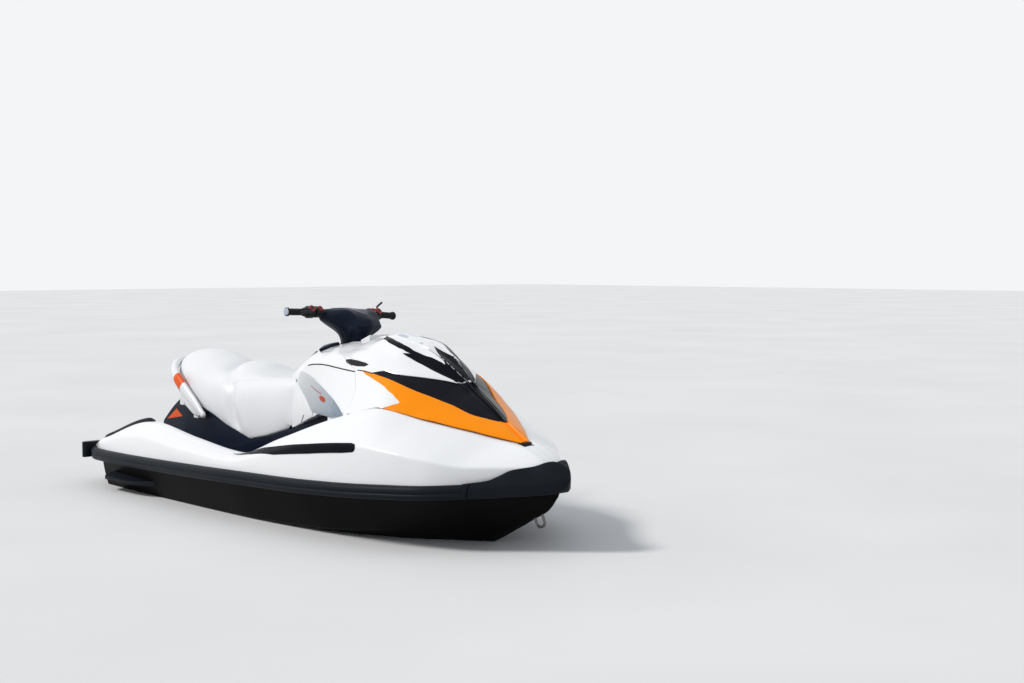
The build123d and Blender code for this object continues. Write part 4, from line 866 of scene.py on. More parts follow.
def make_sponsons():
    """A low blade each side near the stern, thinner towards its outer edge."""
    for side, name in SIDES:
        outline = rounded([(x, side * y) for x, y in SPONSON_PLAN], [8, 22, 20, 40, 60, 60, 24, 4, 2, 2],
                          corner=5, run=1, closed=True)
        blade = prism(f"sponson_blade_{name}", outline, SPONSON_LOW, SPONSON_HIGH, "z")
        boolean(blade, prism("slope", [(side * y, z) for y, z in SPONSON_SLOPE], -1400, -700, "x"))
        soften(blade, 4.0, 35.0, 3)
        finished(blade, "rail_black", "craft", [f"sponson_{name}"], 34.0)


# Upper body: the console and the hood, drawn as one surface and cut along its lines

Upper = namedtuple("Upper", "x skirt_y low_y low_z part_y part_z cowl_y cowl_z shoulder_y shoulder_z top_z")
CONSOLE = [
    Upper(-262, 62, 62, 620, 56, 640, 48, 652, 36, 672, 676),
    Upper(-40, 232, 172, 600, 168, 652, 142, 706, 74, 780, 808),
    Upper(120, 246, 225, 560, 222, 738, 203, 768, 120, 820, 846),
    Upper(300, 292, 290, 550, 258, 757, 240, 785, 140, 846, 860),
    Upper(430, 330, 330, 550, 268, 757, 248, 787, 135, 852, 866),
    Upper(480, 345, 345, 550, 270, 757, 250, 790, 130, 856, 872),
    Upper(660, 378, 378, 556, 272, 742, 252, 772, 124, 862, 890),
]
HOOD = [
    Upper(400, 320, 320, 550, 266, 757, 246, 786, 132, 852, 868),
    Upper(440, 332, 332, 550, 268, 757, 248, 787, 128, 860, 880),
    Upper(500, 348, 348, 550, 271, 756, 250, 788, 118, 870, 902),
    Upper(585, 364, 364, 552, 272, 750, 250, 786, 118, 870, 911),
    Upper(660, 378, 378, 556, 272, 742, 250, 772, 120, 862, 899),
    Upper(741, 372, 372, 576, 269, 727, 243, 750, 118, 850, 881),
    Upper(800, 367, 367, 590, 264, 716, 232, 738, 104, 834, 866),
    Upper(850, 362, 362, 598, 256, 702, 212, 733, 86, 810, 846),
    Upper(933, 332, 332, 584, 227, 671, 150, 722, 68, 770, 808),
    Upper(1014, 288, 288, 563, 181, 640, 74, 704, 42, 722, 756),
    Upper(1050, 270, 270, 555, 160, 625, 44, 688, 28, 700, 724),
    Upper(1089, 246, 246, 547, 138, 610, 38, 660, 24, 668, 682),
    Upper(1181, 190, 190, 523, 99, 570, 30, 606, 20, 612, 620),
    Upper(1245, 146, 146, 508, 54, 551, 22, 566, 14, 570, 574),
    Upper(1290, 118, 118, 496, 20, 536, 14, 539, 8, 541, 543),
    Upper(1418, 24, 24, 460, 14, 464, 10, 465, 6, 466, 467),
]
SKIRT_Z = 300.0
SEAM = [(300, 640), (660, 640), (748, 572), (800, 430), (1000, 430)]   # pairs of z and x
SEAM_GAP = 2.6
HOOD_FRONT_X = 1418.0
HOOD_WALL = 6.0
FINE_STEP = 4.0
BAND_COLUMNS, INSERT_COLUMNS = 26, 12
WHITE_ROWS, FLANK_ROWS, NOSE_ROWS, INSERT_ROWS, REAR_ROWS, AHEAD_ROWS = 40, 90, 30, 150, 70, 60
POD_X, POD_Y, POD_HEIGHT = 676.0, 124.0, 16.0
POD_LONG, POD_WIDE, POD_TAIL = 105.0, 44.0, 1.3   # the tail is a share of the length
HUMP_X, HUMP_Y, HUMP_HEIGHT = 875.0, 54.0, 8.0
HUMP_LONG, HUMP_WIDE = 75.0, 20.0
VALLEY = [(780, 0), (840, 7), (900, 17), (960, 16), (1030, 11), (1062, 3)]   # pairs of x and depth
VALLEY_HALF = 25.0
SCOOP_AFT, SCOOP_FRONT = (301.0, 788.0), (740.0, 758.0)   # x and z at its two ends
SCOOP_HALF, SCOOP_DEPTH = 20.0, 10.0


def upper_outline(row):
    """Half of the upper body's section above its skirt, from the low edge to beside the ridge."""
    low, part, cowl = (row.low_y, row.low_z), (row.part_y, row.part_z), (row.cowl_y, row.cowl_z)
    shoulder, beyond = ((y, row.shoulder_z) for y in (row.shoulder_y, -row.shoulder_y))
    band = rounded([low, part], [0, 0], run=BAND_COLUMNS - 2, bulges=[-5, 0])
    insert = rounded([part, cowl], [0, 0], run=INSERT_COLUMNS - 2, bulges=[-1, 0])
    corner, run = 11, 7
    crown = [cowl, shoulder, (0.0, row.top_z), beyond]
    crown = rounded(crown, [0, 60, 46, 0], corner, run, bulges=[-4, -3, -3, 0])
    to_ridge = 1 + run + corner + run + corner // 2
    return np.vstack([band, insert[1:], crown[1:to_ridge]])


def upper_surface(rows, xs, pods=True):
    """The port half of the upper body as a grid of points."""
    grid = grid_along(xs, upper_outline, rows)
    if pods:
        x, y, z = grid[..., 0], grid[..., 1], grid[..., 2]
        length = np.where(x > POD_X, POD_LONG, POD_TAIL * POD_LONG)
        pod = POD_HEIGHT * np.exp(-((x - POD_X) / length)**4 - ((y - POD_Y) / POD_WIDE)**2)
        hump = HUMP_HEIGHT * np.exp(-((x - HUMP_X) / HUMP_LONG)**4 - ((y - HUMP_Y) / HUMP_WIDE)**2)
        valley = np.interp(x, *zip(*VALLEY)) * np.exp(-(y / VALLEY_HALF)**2)
        grid[..., 2] = z + pod + hump - valley
    return hollowed(grid)


def hollowed(grid):
    """A surface with the air scoop's long hollow in its side: deep under the upper lip, shallow below."""
    x, y, z = grid[..., 0], grid[..., 1], grid[..., 2]
    (aft_x, aft_z), (front_x, front_z) = SCOOP_AFT, SCOOP_FRONT
    share = np.clip((x - aft_x) / (front_x - aft_x), 0, 1)
    half = SCOOP_HALF * (4 * share * (1 - share))**0.6
    place = (z - aft_z - (front_z - aft_z) * share) / np.maximum(half, 0.1)
    depth = np.clip((1 + place) / 2, 0, 1)**1.6 * np.clip((1 - place) / 0.6, 0, 1)
    grid[..., 1] = y - SCOOP_DEPTH * depth * np.clip(half / 16, 0, 1)
    return grid


def starboard(half):
    """The mirror image of a grid, with its columns the other way round."""
    return half[:, ::-1] * np.array([1.0, -1.0, 1.0])


def both_sides(half):
    """A whole grid from its port half, whose last column serves for both sides."""
    return np.concatenate([half, starboard(half)[:, 1:]], axis=1)


def trimmed(grid, start, end, rows):
    """Each column of a grid cut to its own stretch of x and resampled to as many points."""
    xs = start + (end - start) * np.linspace(0, 1, rows)[:, None]
    out = np.empty((rows, grid.shape[1], 3))
    for j, (x, y, z) in enumerate(grid.transpose(1, 2, 0)):
        out[:, j] = np.stack([xs[:, j], np.interp(xs[:, j], x, y), np.interp(xs[:, j], x, z)], axis=1)
    return out


def first_ahead(column, line):
    """How far each point of a column is ahead of a line of height and x, and the first that is."""
    ahead = column[:, 0] - np.interp(column[:, 2], *zip(*line))
    return ahead, int(np.argmax(ahead > 0))


def seam_start(grid):
    """Where each column of the surface comes out of the hood's rear seam."""
    starts = []
    for column in grid.transpose(1, 0, 2):
        ahead, k = first_ahead(column, SEAM)
        if k:
            share = -ahead[k - 1] / (ahead[k] - ahead[k - 1])
            starts.append(column[k - 1, 0] + share * (column[k, 0] - column[k - 1, 0]))
        else:
            starts.append(column[0, 0])
    return np.array(starts)


def sunk(grid, depth):
    """A grid moved behind its face, by a depth for each point."""
    return grid - unit(np.cross(np.gradient(grid, axis=1), np.gradient(grid, axis=0))) * depth[..., None]


# White chevron at the band's rear end: pairs of height and the x where white gives way to orange
CHEVRON = [(540, 790), (589, 854), (606, 894), (619, 928), (654, 873), (686, 801), (715, 705), (733, 641),
           (760, 600)]
COWL_FRONT_X = 1062.0
COWL_FRONT_BACK = 30.0
INSERT_TIP_X, INSERT_TIP, INSERT_DEPTH = 1268.0, 24.0, 5.5
INSERT_UP_X, INSERT_UP_RUN = 1130.0, 90.0   # where the insert has come up to the surface, over what run
INSERT_TAIL = (688.0, 745.0)   # where black gives way to white, at the part line and at the cowl's edge


def welded(name, grids):
    """Sheets that share a row of points, as one."""
    whole = joined(name, [sheet_grid("part", grid) for grid in grids])
    clean(whole)
    return whole


def make_hood():
    fine = upper_surface(HOOD, spaced([HOOD[0].x, HOOD_FRONT_X], FINE_STEP))
    count = fine.shape[1]
    start, front = seam_start(fine), np.full(count, HOOD_FRONT_X)
    last_band, last_insert = BAND_COLUMNS - 1, BAND_COLUMNS + INSERT_COLUMNS - 2
    border = chevron_line(fine, start)

    tip = np.full(count, INSERT_TIP_X)
    over = np.linspace(0, 1, count - last_band)
    tip[last_band:] += INSERT_TIP * np.sqrt(over * (2 - over))
    white = trimmed(fine, start, border, WHITE_ROWS)[:, :last_band + 1]
    flank = trimmed(fine, border, tip, FLANK_ROWS)[:, :last_band + 1]
    nose = trimmed(fine, tip, front, NOSE_ROWS)
    for (_, name), shown in zip(SIDES, (white, starboard(white))):
        piece = thick(sheet_grid(f"hood_chevron_{name}", shown), HOOD_WALL)
        finished(piece, "cowl_white", "hood")
    piece = welded("hood_flanks", [flank, starboard(flank), both_sides(nose)])
    finished(thick(piece, HOOD_WALL), "hood_orange", "hood", ["hood_band"])

    insert = trimmed(fine, start, tip + 3.0, INSERT_ROWS)[:, last_band:]
    depth = INSERT_DEPTH * np.clip((INSERT_UP_X - insert[..., 0]) / INSERT_UP_RUN, 0.1, 1)
    piece = thick(sheet_grid("hood_insert_shell", both_sides(sunk(insert, depth))), 3.0)
    finished(piece, "insert_black", "hood", ["hood_insert"])

    tail = np.full(count, INSERT_TAIL[1])
    tail[last_band:last_insert + 1] = np.linspace(*INSERT_TAIL, last_insert + 1 - last_band)
    share = np.clip((np.arange(count) - last_insert) / (count - 1 - last_insert), 0, 1)
    cowl_front = COWL_FRONT_X - COWL_FRONT_BACK * (1 - share)**1.5
    rear = trimmed(fine, start, tail, REAR_ROWS)[:, last_band:]
    ahead = trimmed(fine, tail, cowl_front, AHEAD_ROWS)[:, last_insert:]
    piece = welded("cowl_shell", [both_sides(rear), both_sides(ahead)])
    thick(piece, HOOD_WALL - 1, 1.8)
    finished(piece, "cowl_white", "hood", ["hood_cowl"])
    make_hood_hinge()


def chevron_line(fine, start):
    """Where white gives way to orange on each column of the band."""
    found = [column[first_ahead(column, CHEVRON)[1], 0] for column in fine.transpose(1, 0, 2)]
    return np.maximum(found, start + 1.0)


HINGE_X, HINGE_Z = 1432.0, 442.0
HINGE_EYE_R, HINGE_PIN_R, HINGE_HALF = 9.0, 4.3, 22.0


def make_hood_hinge():
    """The hood's hinge eye at its nose, on a web under the band."""
    def pin(name, half, radius):
        """A round body along the hinge's axis."""
        return turned(name, (HINGE_X, -half, HINGE_Z), (0, 1, 0), [(0, radius), (2 * half, radius)])

    eye = pin("hood_hinge_eye", HINGE_HALF, HINGE_EYE_R)
    web = block("web", (HINGE_X - 28, -HINGE_HALF, HINGE_Z + 2), (HINGE_X + 2, HINGE_HALF, HINGE_Z + 20))
    boolean(eye, web, "UNION")
    boolean(eye, pin("bore", 40, HINGE_PIN_R))
    finished(soften(eye, 1.0, 50.0), "black_plastic", "hood")


# Console

STEER = (212.0, 850.0)    # x and z of a place on the steering axis
STEER_TILT = math.radians(18.0)
STEER_REST = math.radians(10.0)
WELL_R, WELL_DEPTH, COLUMN_BORE_R = 92.0, 26.0, 19.3
LID_TOP = (-48.0, 791.0)  # x and z of the glovebox lid's upper edge
LID_SLOPE = math.radians(31.0)
LID_LENGTH, LID_HALF, LID_THICK, LID_ROOM = 122.0, 50.0, 10.0, 5.0
BOX_RIM, BOX_DEPTH = 10.0, 95.0
PEDESTAL_TOP = [(-1275, 215), (-1272, 358), (-1181, 434), (-1083, 498), (-1029, 512), (-935, 482),
                (-739, 430), (-612, 385), (-395, 330), (-239, 360), (-18, 420), (152, 478), (300, 520),
                (430, 520)]
FIN_LINE = [(-20, 700), (21, 704), (100, 705), (164, 697), (235, 678), (313, 655), (395, 628), (479, 602),
            (548, 572), (597, 547), (529, 529), (474, 522), (216, 525), (172, 547), (119, 583), (31, 630),
            (-20, 654)]
FIN_PLAN = [(-30, 140), (610, 274), (610, 500), (-30, 500)]
FIN_GROW = 8.0
CONSOLE_FRONT_X = 645.0
CONSOLE_AFT = [(-400, 290), (-400, 1000)]        # x and z of two places aft of the console
OVER_BAY = ((-900, -600, -100), (0, 600, 560))   # what the console leaves free over the engine bay
GAUGE_SEAT = ((332, -70, 838), (412, 70, 1000))


def upper_solid(name, rows, grow=0.0, last=None):
    """A closed body under the upper surface, down to its skirt."""
    xs = spaced([rows[0].x, last or rows[-1].x], 8.0)
    half = upper_surface(rows, xs, pods=False)
    half[..., 1] += grow
    half[:, -1, 1] = 0.0
    skirt = np.array([[(row.x, row.skirt_y + grow, SKIRT_Z)] for row in columns(rows, xs)])
    return tube_grid(name, both_sides(np.concatenate([skirt, half], axis=1)))


def tilted(angle, place, facing):
    """A frame turned about Y and moved to a place given as x and z. Facing -1 looks aft."""
    c, s = math.cos(angle), math.sin(angle)
    x, z = place
    return Matrix(((facing * c, 0, -s, x * MM), (0, facing, 0, 0),
                   (facing * s, 0, c, z * MM), (0, 0, 0, 1)))


STEER_FRAME = tilted(STEER_TILT, STEER, 1)        # z up the steering axis, with the bars straight
LID_FRAME = tilted(LID_SLOPE, LID_TOP, -1)        # x down the glovebox's slope, z out of it


def make_console():
    console = upper_solid("console_shell", CONSOLE, last=CONSOLE_FRONT_X)
    seam = [(x - SEAM_GAP, z - 2.0) for z, x in SEAM[::-1]]
    boolean(console, prism("behind_hood", seam + CONSOLE_AFT, -600, 600), "INTERSECT")
    boolean(console, prism("over_pedestal", PEDESTAL_TOP + [(430, 0), (-1275, 0)], -700, 700))
    boolean(console, block("over_bay", *OVER_BAY))
    well = turned("well", (0, 0, -WELL_DEPTH), (0, 0, 1), [(0, WELL_R - 4), (4, WELL_R), (200, WELL_R)], 64)
    bore = turned("bore", (0, 0, -WELL_DEPTH - 90), (0, 0, 1), [(0, COLUMN_BORE_R), (100, COLUMN_BORE_R)])
    half = LID_HALF + LID_ROOM
    rebate = block("rebate", (-12, -half, -LID_THICK - LID_ROOM), (LID_LENGTH + LID_ROOM, half, 60))
    inner = LID_HALF - BOX_RIM
    box = block("box", (BOX_RIM, -inner, -BOX_DEPTH), (LID_LENGTH - BOX_RIM, inner, 0))
    for place, cutters in ((STEER_FRAME, (well, bore)), (LID_FRAME, (rebate, box))):
        for cutter in cutters:
            cutter.data.transform(place)
            boolean(console, cutter)
    boolean(console, block("gauge_seat", *GAUGE_SEAT))
    for side, _ in SIDES:
        boolean(console, fin_space("fin_space", side))
    soften(console, 1.6, 60.0)
    finished(console, "deck_white", "craft", ["console"], 30.0)


def fin_space(name, side):
    """The space that a fin fills in one side of the console."""
    plan = prism("plan", [(x, side * y) for x, y in FIN_PLAN], 300, 900, "z")
    return boolean(prism(name, FIN_LINE, -500, 500), plan, "INTERSECT")


FRONT_PIECE = [(-21, 652), (31, 627), (119, 580), (172, 544), (214, 523), (214, 500), (152, 481),
               (-18, 423), (-21, 426)]
FRONT_Y = (120, 400)
FRONT_ROWS = [
    Upper(-40, 216, 216, 420, 205, 590, 186, 650, 110, 664, 668),
    Upper(0, 218, 218, 430, 206, 590, 188, 650, 112, 670, 676),
    Upper(120, 238, 238, 470, 226, 600, 200, 660, 130, 700, 712),
    Upper(300, 290, 290, 540, 262, 640, 230, 680, 140, 720, 740),
]


def make_seat_front():
    """The white piece between the seat's front end and the fins, on each side."""
    for side, name in SIDES:
        piece = upper_solid(f"seat_front_{name}", FRONT_ROWS)
        boolean(piece, prism("side_view", FRONT_PIECE, *(side * y for y in FRONT_Y)), "INTERSECT")
        soften(piece, 3.0, 50.0, 3)
        finished(piece, "white_plastic", "craft", (), 34.0)


def make_fins():
    for side, name in SIDES:
        fin = upper_solid(f"fin_{name}", CONSOLE, grow=FIN_GROW)
        boolean(fin, fin_space("fin_space", side), "INTERSECT")
        soften(fin, 4.0, 50.0, 3)
        finished(fin, "silver_trim", "craft", [f"console_fin_{name}"], 30.0)


# Graphics, lines, small trim and a painted shadow in each air scoop, laid on what carries them. Places are
# on the starboard side.

STRIPES = [(812, 0), (849, -16), (883, -29), (910, -41), (932, -42), (945, -50), (914, -61), (874, -70),
           (834, -87), (792, -105), (735, -116), (665, -108), (600, -88), (534, -55), (548, -80),
           (573, -109), (634, -131), (675, -137), (725, -141), (772, -134), (794, -125), (780, -137),
           (763, -149), (786, -146), (819, -137), (867, -123), (920, -109), (967, -90), (1007, -70),
           (1029, -58), (1044, -36), (1054, 0)]
STRIPE_Z = 860.0   # any height near the cowl: the stripes drop on to it
BADGES = [((622, -28, 900), 36, 13), ((761, -33, 870), 9, 6)]   # centre, half length and half width
# outline of a dark sheet in each air scoop's hollow: a painted shadow where the scoop's opening lies in
# shade
SCOOP_SHADOW = [(462, -236, 786), (500, -237, 789), (560, -239, 786), (620, -242, 778), (640, -244, 770),
              (622, -250, 762), (570, -252, 761), (520, -250, 765), (484, -246, 774)]
SHOULDER_LINE = [(127, -224, 741), (191, -240, 749), (317, -261, 754), (428, -272, 747), (531, -280, 740),
                 (574, -279, 737)]
HOOD_LINE = [(590, -276, 745), (622, -276, 744), (668, -273, 739), (700, -272, 734)]
DECK_STRIPE = [(-92, -512, 311), (-20, -512, 325), (168, -521, 363), (287, -533, 384), (562, -537, 422),
               (788, -514, 445), (845, -504, 449), (866, -502, 443), (872, -509, 431), (867, -513, 419),
               (856, -513, 411), (799, -522, 403), (576, -547, 380), (324, -560, 352), (110, -541, 328)]
FIN_STROKE = [(203, -262, 648), (262, -276, 634), (342, -297, 618)]
FIN_DROP = [(322, -290, 604), (340, -295, 611), (370, -303, 609), (396, -310, 600), (402, -312, 592),
            (394, -310, 584), (366, -304, 584), (336, -294, 592)]
FIN_SEAM = [(-18, -184, 656), (34, -200, 628), (107, -218, 586), (163, -230, 550), (212, -240, 526)]
FRONT_SEAM = [(152, -236, 541), (126, -234, 512), (96, -230, 482), (78, -228, 458)]
PEDESTAL_MARK = [(-1226, -215, 372), (-1128, -215, 436), (-1066, -215, 398)]
CREST_PATCH = [(142, -159, 802), (118, -128, 818), (112, -104, 828), (160, -98, 838), (246, -118, 840)]


def flipped(points, side):
    """Places on the starboard side as they are, or their mirror images to port in reverse order."""
    return points if side < 0 else [(x, -y, z) for x, y, z in points][::-1]


def ellipse(centre, long, wide, count=28):
    x, y, z = centre
    return [(x + long * math.cos(a), y + wide * math.sin(a), z) for a in turns(count)]


def on_both(name, make):
    """What make(side) gives for starboard and for port, as one piece."""
    return joined(name, [make(side) for side in (-1, 1)])


def make_graphics():
    cowl, console, both = skin("cowl_shell"), skin("console_shell"), skin("cowl_shell", "console_shell")
    half = [(x, y, STRIPE_Z) for x, y in STRIPES]
    whole = half + [(x, -y, z) for x, y, z in half[-2:0:-1]]
    finished(laid("cowl_stripes", whole, cowl, DOWN, 6.0, 1.6), "film_black", "hood")
    for k, badge in enumerate(BADGES):
        outline = ellipse(*badge)
        badges = on_both(f"cowl_badges_{k + 1}",
                         lambda side: laid("badge", flipped(outline, side), cowl, DOWN, 6.0))
        finished(badges, "badge_blue", "hood")
    hood = skin("cowl_shell", "hood_chevron_left", "hood_chevron_right", "hood_flanks")
    for label, points, tree, width, body in (("console_line", SHOULDER_LINE, console, 6.0, "craft"),
                                             ("hood_line", HOOD_LINE, hood, 5.0, "hood")):
        lines = on_both(label, lambda side: bead("line", flipped(points, side), tree, width, 1.0))
        finished(lines, "seam_dark", body, (), 60.0)
    # the scoop's dark sheet is painted shadow, standing in for its shaded opening
    scoop_shadows = on_both("scoop_painted_shadows", lambda side: laid("hole", flipped(SCOOP_SHADOW, side), both, (0, -side, 0),
                                                     4.0, 1.8, 2.5))
    finished(scoop_shadows, "seam_dark", "hood")
    for side, name in SIDES:
        make_side_graphics(side, name)
    patches = on_both("crest_patches", lambda side: laid("patch", flipped(CREST_PATCH, side), console, DOWN,
                                                         6.0, 16.0, 1.5))
    finished(soften(patches, 5.0, 40.0), "navy_plastic", "craft", (), 50.0)


def make_side_graphics(side, name):
    """The deck's stripe, the fin's marks and seams, and the pedestal's mark on one side."""
    inward, deck_in = (0, -side, 0), (0, -0.75 * side, -0.65)
    deck, fin, pedestal = skin("deck_shell"), skin(f"fin_{name}"), skin("pedestal_shell")
    stripe = laid(f"deck_stripe_{name}", flipped(DECK_STRIPE, side), deck, deck_in, 8.0, 2.0)
    finished(stripe, "film_black", "craft")
    finished(laid(f"fin_mark_{name}", flipped(FIN_DROP, side), fin, inward, 6.0), "mark_red", "craft")
    stroke = bead(f"fin_stroke_{name}", flipped(FIN_STROKE, side), fin, 4.0, 0.9, inward)
    finished(stroke, "mark_red", "craft", (), 60.0)
    around = skin("console_shell", f"fin_{name}", f"seat_front_{name}")
    seams = [bead("seam", flipped(run, side), around, 4.0, 1.8) for run in (FIN_SEAM, FRONT_SEAM)]
    finished(joined(f"fin_seam_{name}", seams), "seam_dark", "craft", (), 60.0)
    mark = laid(f"pedestal_mark_{name}", flipped(PEDESTAL_MARK, side), pedestal, inward, 12.0)
    finished(mark, "mark_orange", "craft")


# Seat: a narrow domed rear lobe and a broad front lobe, with a crease between them

SeatRow = namedtuple("SeatRow", "x base_y waist_z shoulder_y shoulder_z crown_y crown_z top_z")
SEAT = [
    SeatRow(-1284, 56, 694, 44, 700, 24, 706, 709),
    SeatRow(-1262, 98, 686, 78, 702, 42, 722, 729),
    SeatRow(-1225, 136, 662, 108, 704, 58, 738, 747),
    SeatRow(-1155, 188, 632, 148, 698, 76, 752, 764),
    SeatRow(-1060, 226, 608, 174, 684, 88, 754, 770),
    SeatRow(-950, 239, 588, 186, 670, 92, 744, 759),
    SeatRow(-869, 241, 572, 190, 660, 92, 724, 738),
    SeatRow(-790, 241, 558, 188, 646, 92, 694, 708),
    SeatRow(-735, 241, 550, 188, 640, 92, 682, 695),
    SeatRow(-680, 241, 544, 190, 634, 96, 700, 713),
    SeatRow(-620, 241, 534, 190, 632, 98, 710, 723),
    SeatRow(-540, 241, 520, 193, 632, 98, 703, 715),
    SeatRow(-428, 240, 520, 193, 644, 102, 664, 672),
    SeatRow(-349, 240, 528, 193, 653, 106, 652, 654),
    SeatRow(-250, 239, 540, 194, 662, 112, 652, 649),
    SeatRow(-140, 238, 556, 194, 667, 116, 658, 654),
    SeatRow(-90, 233, 530, 191, 662, 116, 658, 654),
    SeatRow(-24, 220, 440, 184, 654, 116, 656, 654),
]
SEAT_UNDERSIDE = [(-1290, 668), (-1110, 562), (-1029, 512), (-935, 482), (-739, 430), (-612, 385),
                  (-395, 330), (-239, 360), (-18, 420), (152, 478)]
SEAT_BREAKS, SEAT_STEP = [-1284, -1262, -1225, -1029, -395, -24], 9.0
SEAT_ROUNDING = 60
FOOT_HELD, FOOT_RUN = 6.0, 50.0         # height that stays as drawn, and the run to where it moves freely
FRONT_HELD, FRONT_RUN = -30.0, 120.0    # x ahead of which it hardly moves, and the run to where it does
LOBE_BREAK = [(-740, 0, 716), (-730, -100, 694), (-628, -190, 650), (-572, -228, 583), (-548, -240, 482),
              (-500, -240, 372)]
SEAT_SIDE_GAP = 7.0
CREASE_DEPTH, CREASE_WIDTH, CREASE_FOOT = 21.0, 30.0, 40.0
SWELL, SWELL_PLACE, SWELL_WIDTH = 5.0, 78.0, 42.0
SEAM_RUN = [(-596, -190, 606), (-540, -194, 624), (-481, -193, 640), (-400, -193, 650), (-313, -194, 660),
            (-200, -195, 666), (-60, -193, 670)]
SEAT_EDGE = [(-760, 66), (-560, 52), (-400, 46), (-24, 30)]   # pairs of x and the shoulder's radius
SEAT_MIDDLE = (0.0, 0.0, 560.0)   # below most of the cover, to tell its outside by


def seat_outline(row):
    """The seat's closed section, with a rounder shoulder on the rear lobe than on the front lobe."""
    under = np.interp(row.x, *zip(*SEAT_UNDERSIDE)) + 1.0
    edge = np.interp(row.x, *zip(*SEAT_EDGE))
    half = rounded([(0, under), (row.base_y - 16, under), (row.base_y, max(row.waist_z, under + 8)),
                    (row.shoulder_y, row.shoulder_z), (row.crown_y, row.crown_z), (0, row.top_z)],
                   [0, 16, 70, edge, 60, 0], corner=9, run=5, bulges=[0, -3, -3, -3, -1, 0])
    return closed_section(half)


def relaxed(grid):
    """Each section drawn tight like a cover over foam, less so near its foot and the seat's front end."""
    low = grid[..., 2].min(1)[:, None]
    free = np.clip((grid[..., 2] - low - FOOT_HELD) / FOOT_RUN, 0, 1)
    free *= np.clip((FRONT_HELD - grid[..., 0]) / FRONT_RUN, 0.15, 1)
    for _ in range(SEAT_ROUNDING):
        middle = (np.roll(grid, -1, axis=1) + np.roll(grid, 1, axis=1)) / 2
        grid = grid + 0.5 * free[..., None] * (middle - grid)
    return grid


def creased(grid):
    """The two lobes: sunk along the break between them and swollen beside it."""
    around = np.roll(grid, -1, axis=1) - np.roll(grid, 1, axis=1)
    outward = unit(np.cross(around, np.gradient(grid, axis=0)))
    from_middle = (grid - SEAT_MIDDLE)[..., 1:]
    outward *= np.sign(np.median((from_middle * outward[..., 1:]).sum(2)))
    line = smooth_path(LOBE_BREAK, 12.0)
    line = np.vstack([line, line * [1, -1, 1]])
    gap = np.linalg.norm(grid[:, :, None] - line[None, None], axis=3).min(2)
    lift = SWELL * np.exp(-((gap - SWELL_PLACE) / SWELL_WIDTH)**2)
    lift -= CREASE_DEPTH * np.exp(-(gap / CREASE_WIDTH)**2)
    above_foot = np.clip((grid[..., 2] - grid[..., 2].min(1)[:, None]) / CREASE_FOOT, 0, 1)
    return grid + outward * (lift * above_foot)[..., None]


def make_seat():
    grid = grid_along(spaced(SEAT_BREAKS, SEAT_STEP), seat_outline, SEAT)
    seat = tube_grid("seat_cover", creased(relaxed(grid)))
    modified(seat, "SMOOTH", factor=0.5, iterations=5)
    boolean(seat, upper_solid("console_room", CONSOLE, grow=SEAT_SIDE_GAP, last=40.0))
    finished(seat, "seat_vinyl", "seat_lid", ["seat"], 50.0)
    tree = skin(seat)
    seams = [bead("seam", flipped(run, side), tree, 3.0, height)
             for side, _ in SIDES for run, height in ((SEAM_RUN, 1.0), (LOBE_BREAK[1:-1], 0.9))]
    finished(joined("seat_piping", seams), "seat_vinyl", "seat_lid", (), 60.0)


# Pedestal

PEDESTAL_HALF = 215.0
PEDESTAL_FOOT = [(430, 70), (-950, 70), (-1150, 204), (-1275, 204)]
SEAT_PROP = [(-1029, 511), (-1110, 561), (-1215, 623), (-1190, 409)]
SEAT_PROP_HALF = 100.0
PEDESTAL_RADII = [2, 14, 40, 40, 30, 60, 60, 60, 90, 60, 60, 60, 60, 2, 2, 2, 2, 2]


def make_pedestal():
    outline = rounded(PEDESTAL_TOP + PEDESTAL_FOOT, PEDESTAL_RADII, corner=4, run=3, closed=True)
    pedestal = prism("pedestal_shell", outline, -PEDESTAL_HALF, PEDESTAL_HALF)
    soften(pedestal, 10.0, 60.0, 3)
    boolean(pedestal, bay_room())
    prop = soften(prism("prop", SEAT_PROP, -SEAT_PROP_HALF, SEAT_PROP_HALF), 3.0, 50.0)
    boolean(pedestal, prop, "UNION")
    finished(pedestal, "navy_plastic", "craft", ["seat_pedestal"], 34.0)


# Grab handle, and the pads on the gunwales beside the platform

HANDLE_RUN = [(-772, -264, 428), (-862, -264, 490), (-970, -261, 558), (-1070, -248, 622),
              (-1192, -182, 666), (-1312, -50, 686)]
HANDLE_SIZES = [(-772, 13, 16), (-862, 16, 27), (-970, 18, 33), (-1070, 20, 31), (-1192, 21, 27),
                (-1312, 20, 25)]
HANDLE_UP = (0.35, 0.0, 0.94)
BAND_SHARE = (0.172, 0.240)   # where the coloured band starts and ends, as shares of the run
BAND_LIFT = 0.9
WEB_OUTLINE = [(-786, 440), (-968, 556), (-1016, 580), (-1004, 534), (-944, 472), (-866, 430), (-806, 422)]
WEB_INNER, WEB_OUTER, FOOT_INNER, FOOT_OUTER = 252.0, 272.0, 200.0, 262.0
FOOT_BLOCKS = [((-870, 410), (-830, 440)), ((-1010, 470), (-970, 512))]   # x and z of two corners
PAD_RUN, PAD_R, PAD_INSET, PAD_LIFT = (-1612.0, -968.0), 15.0, 30.0, 6.0


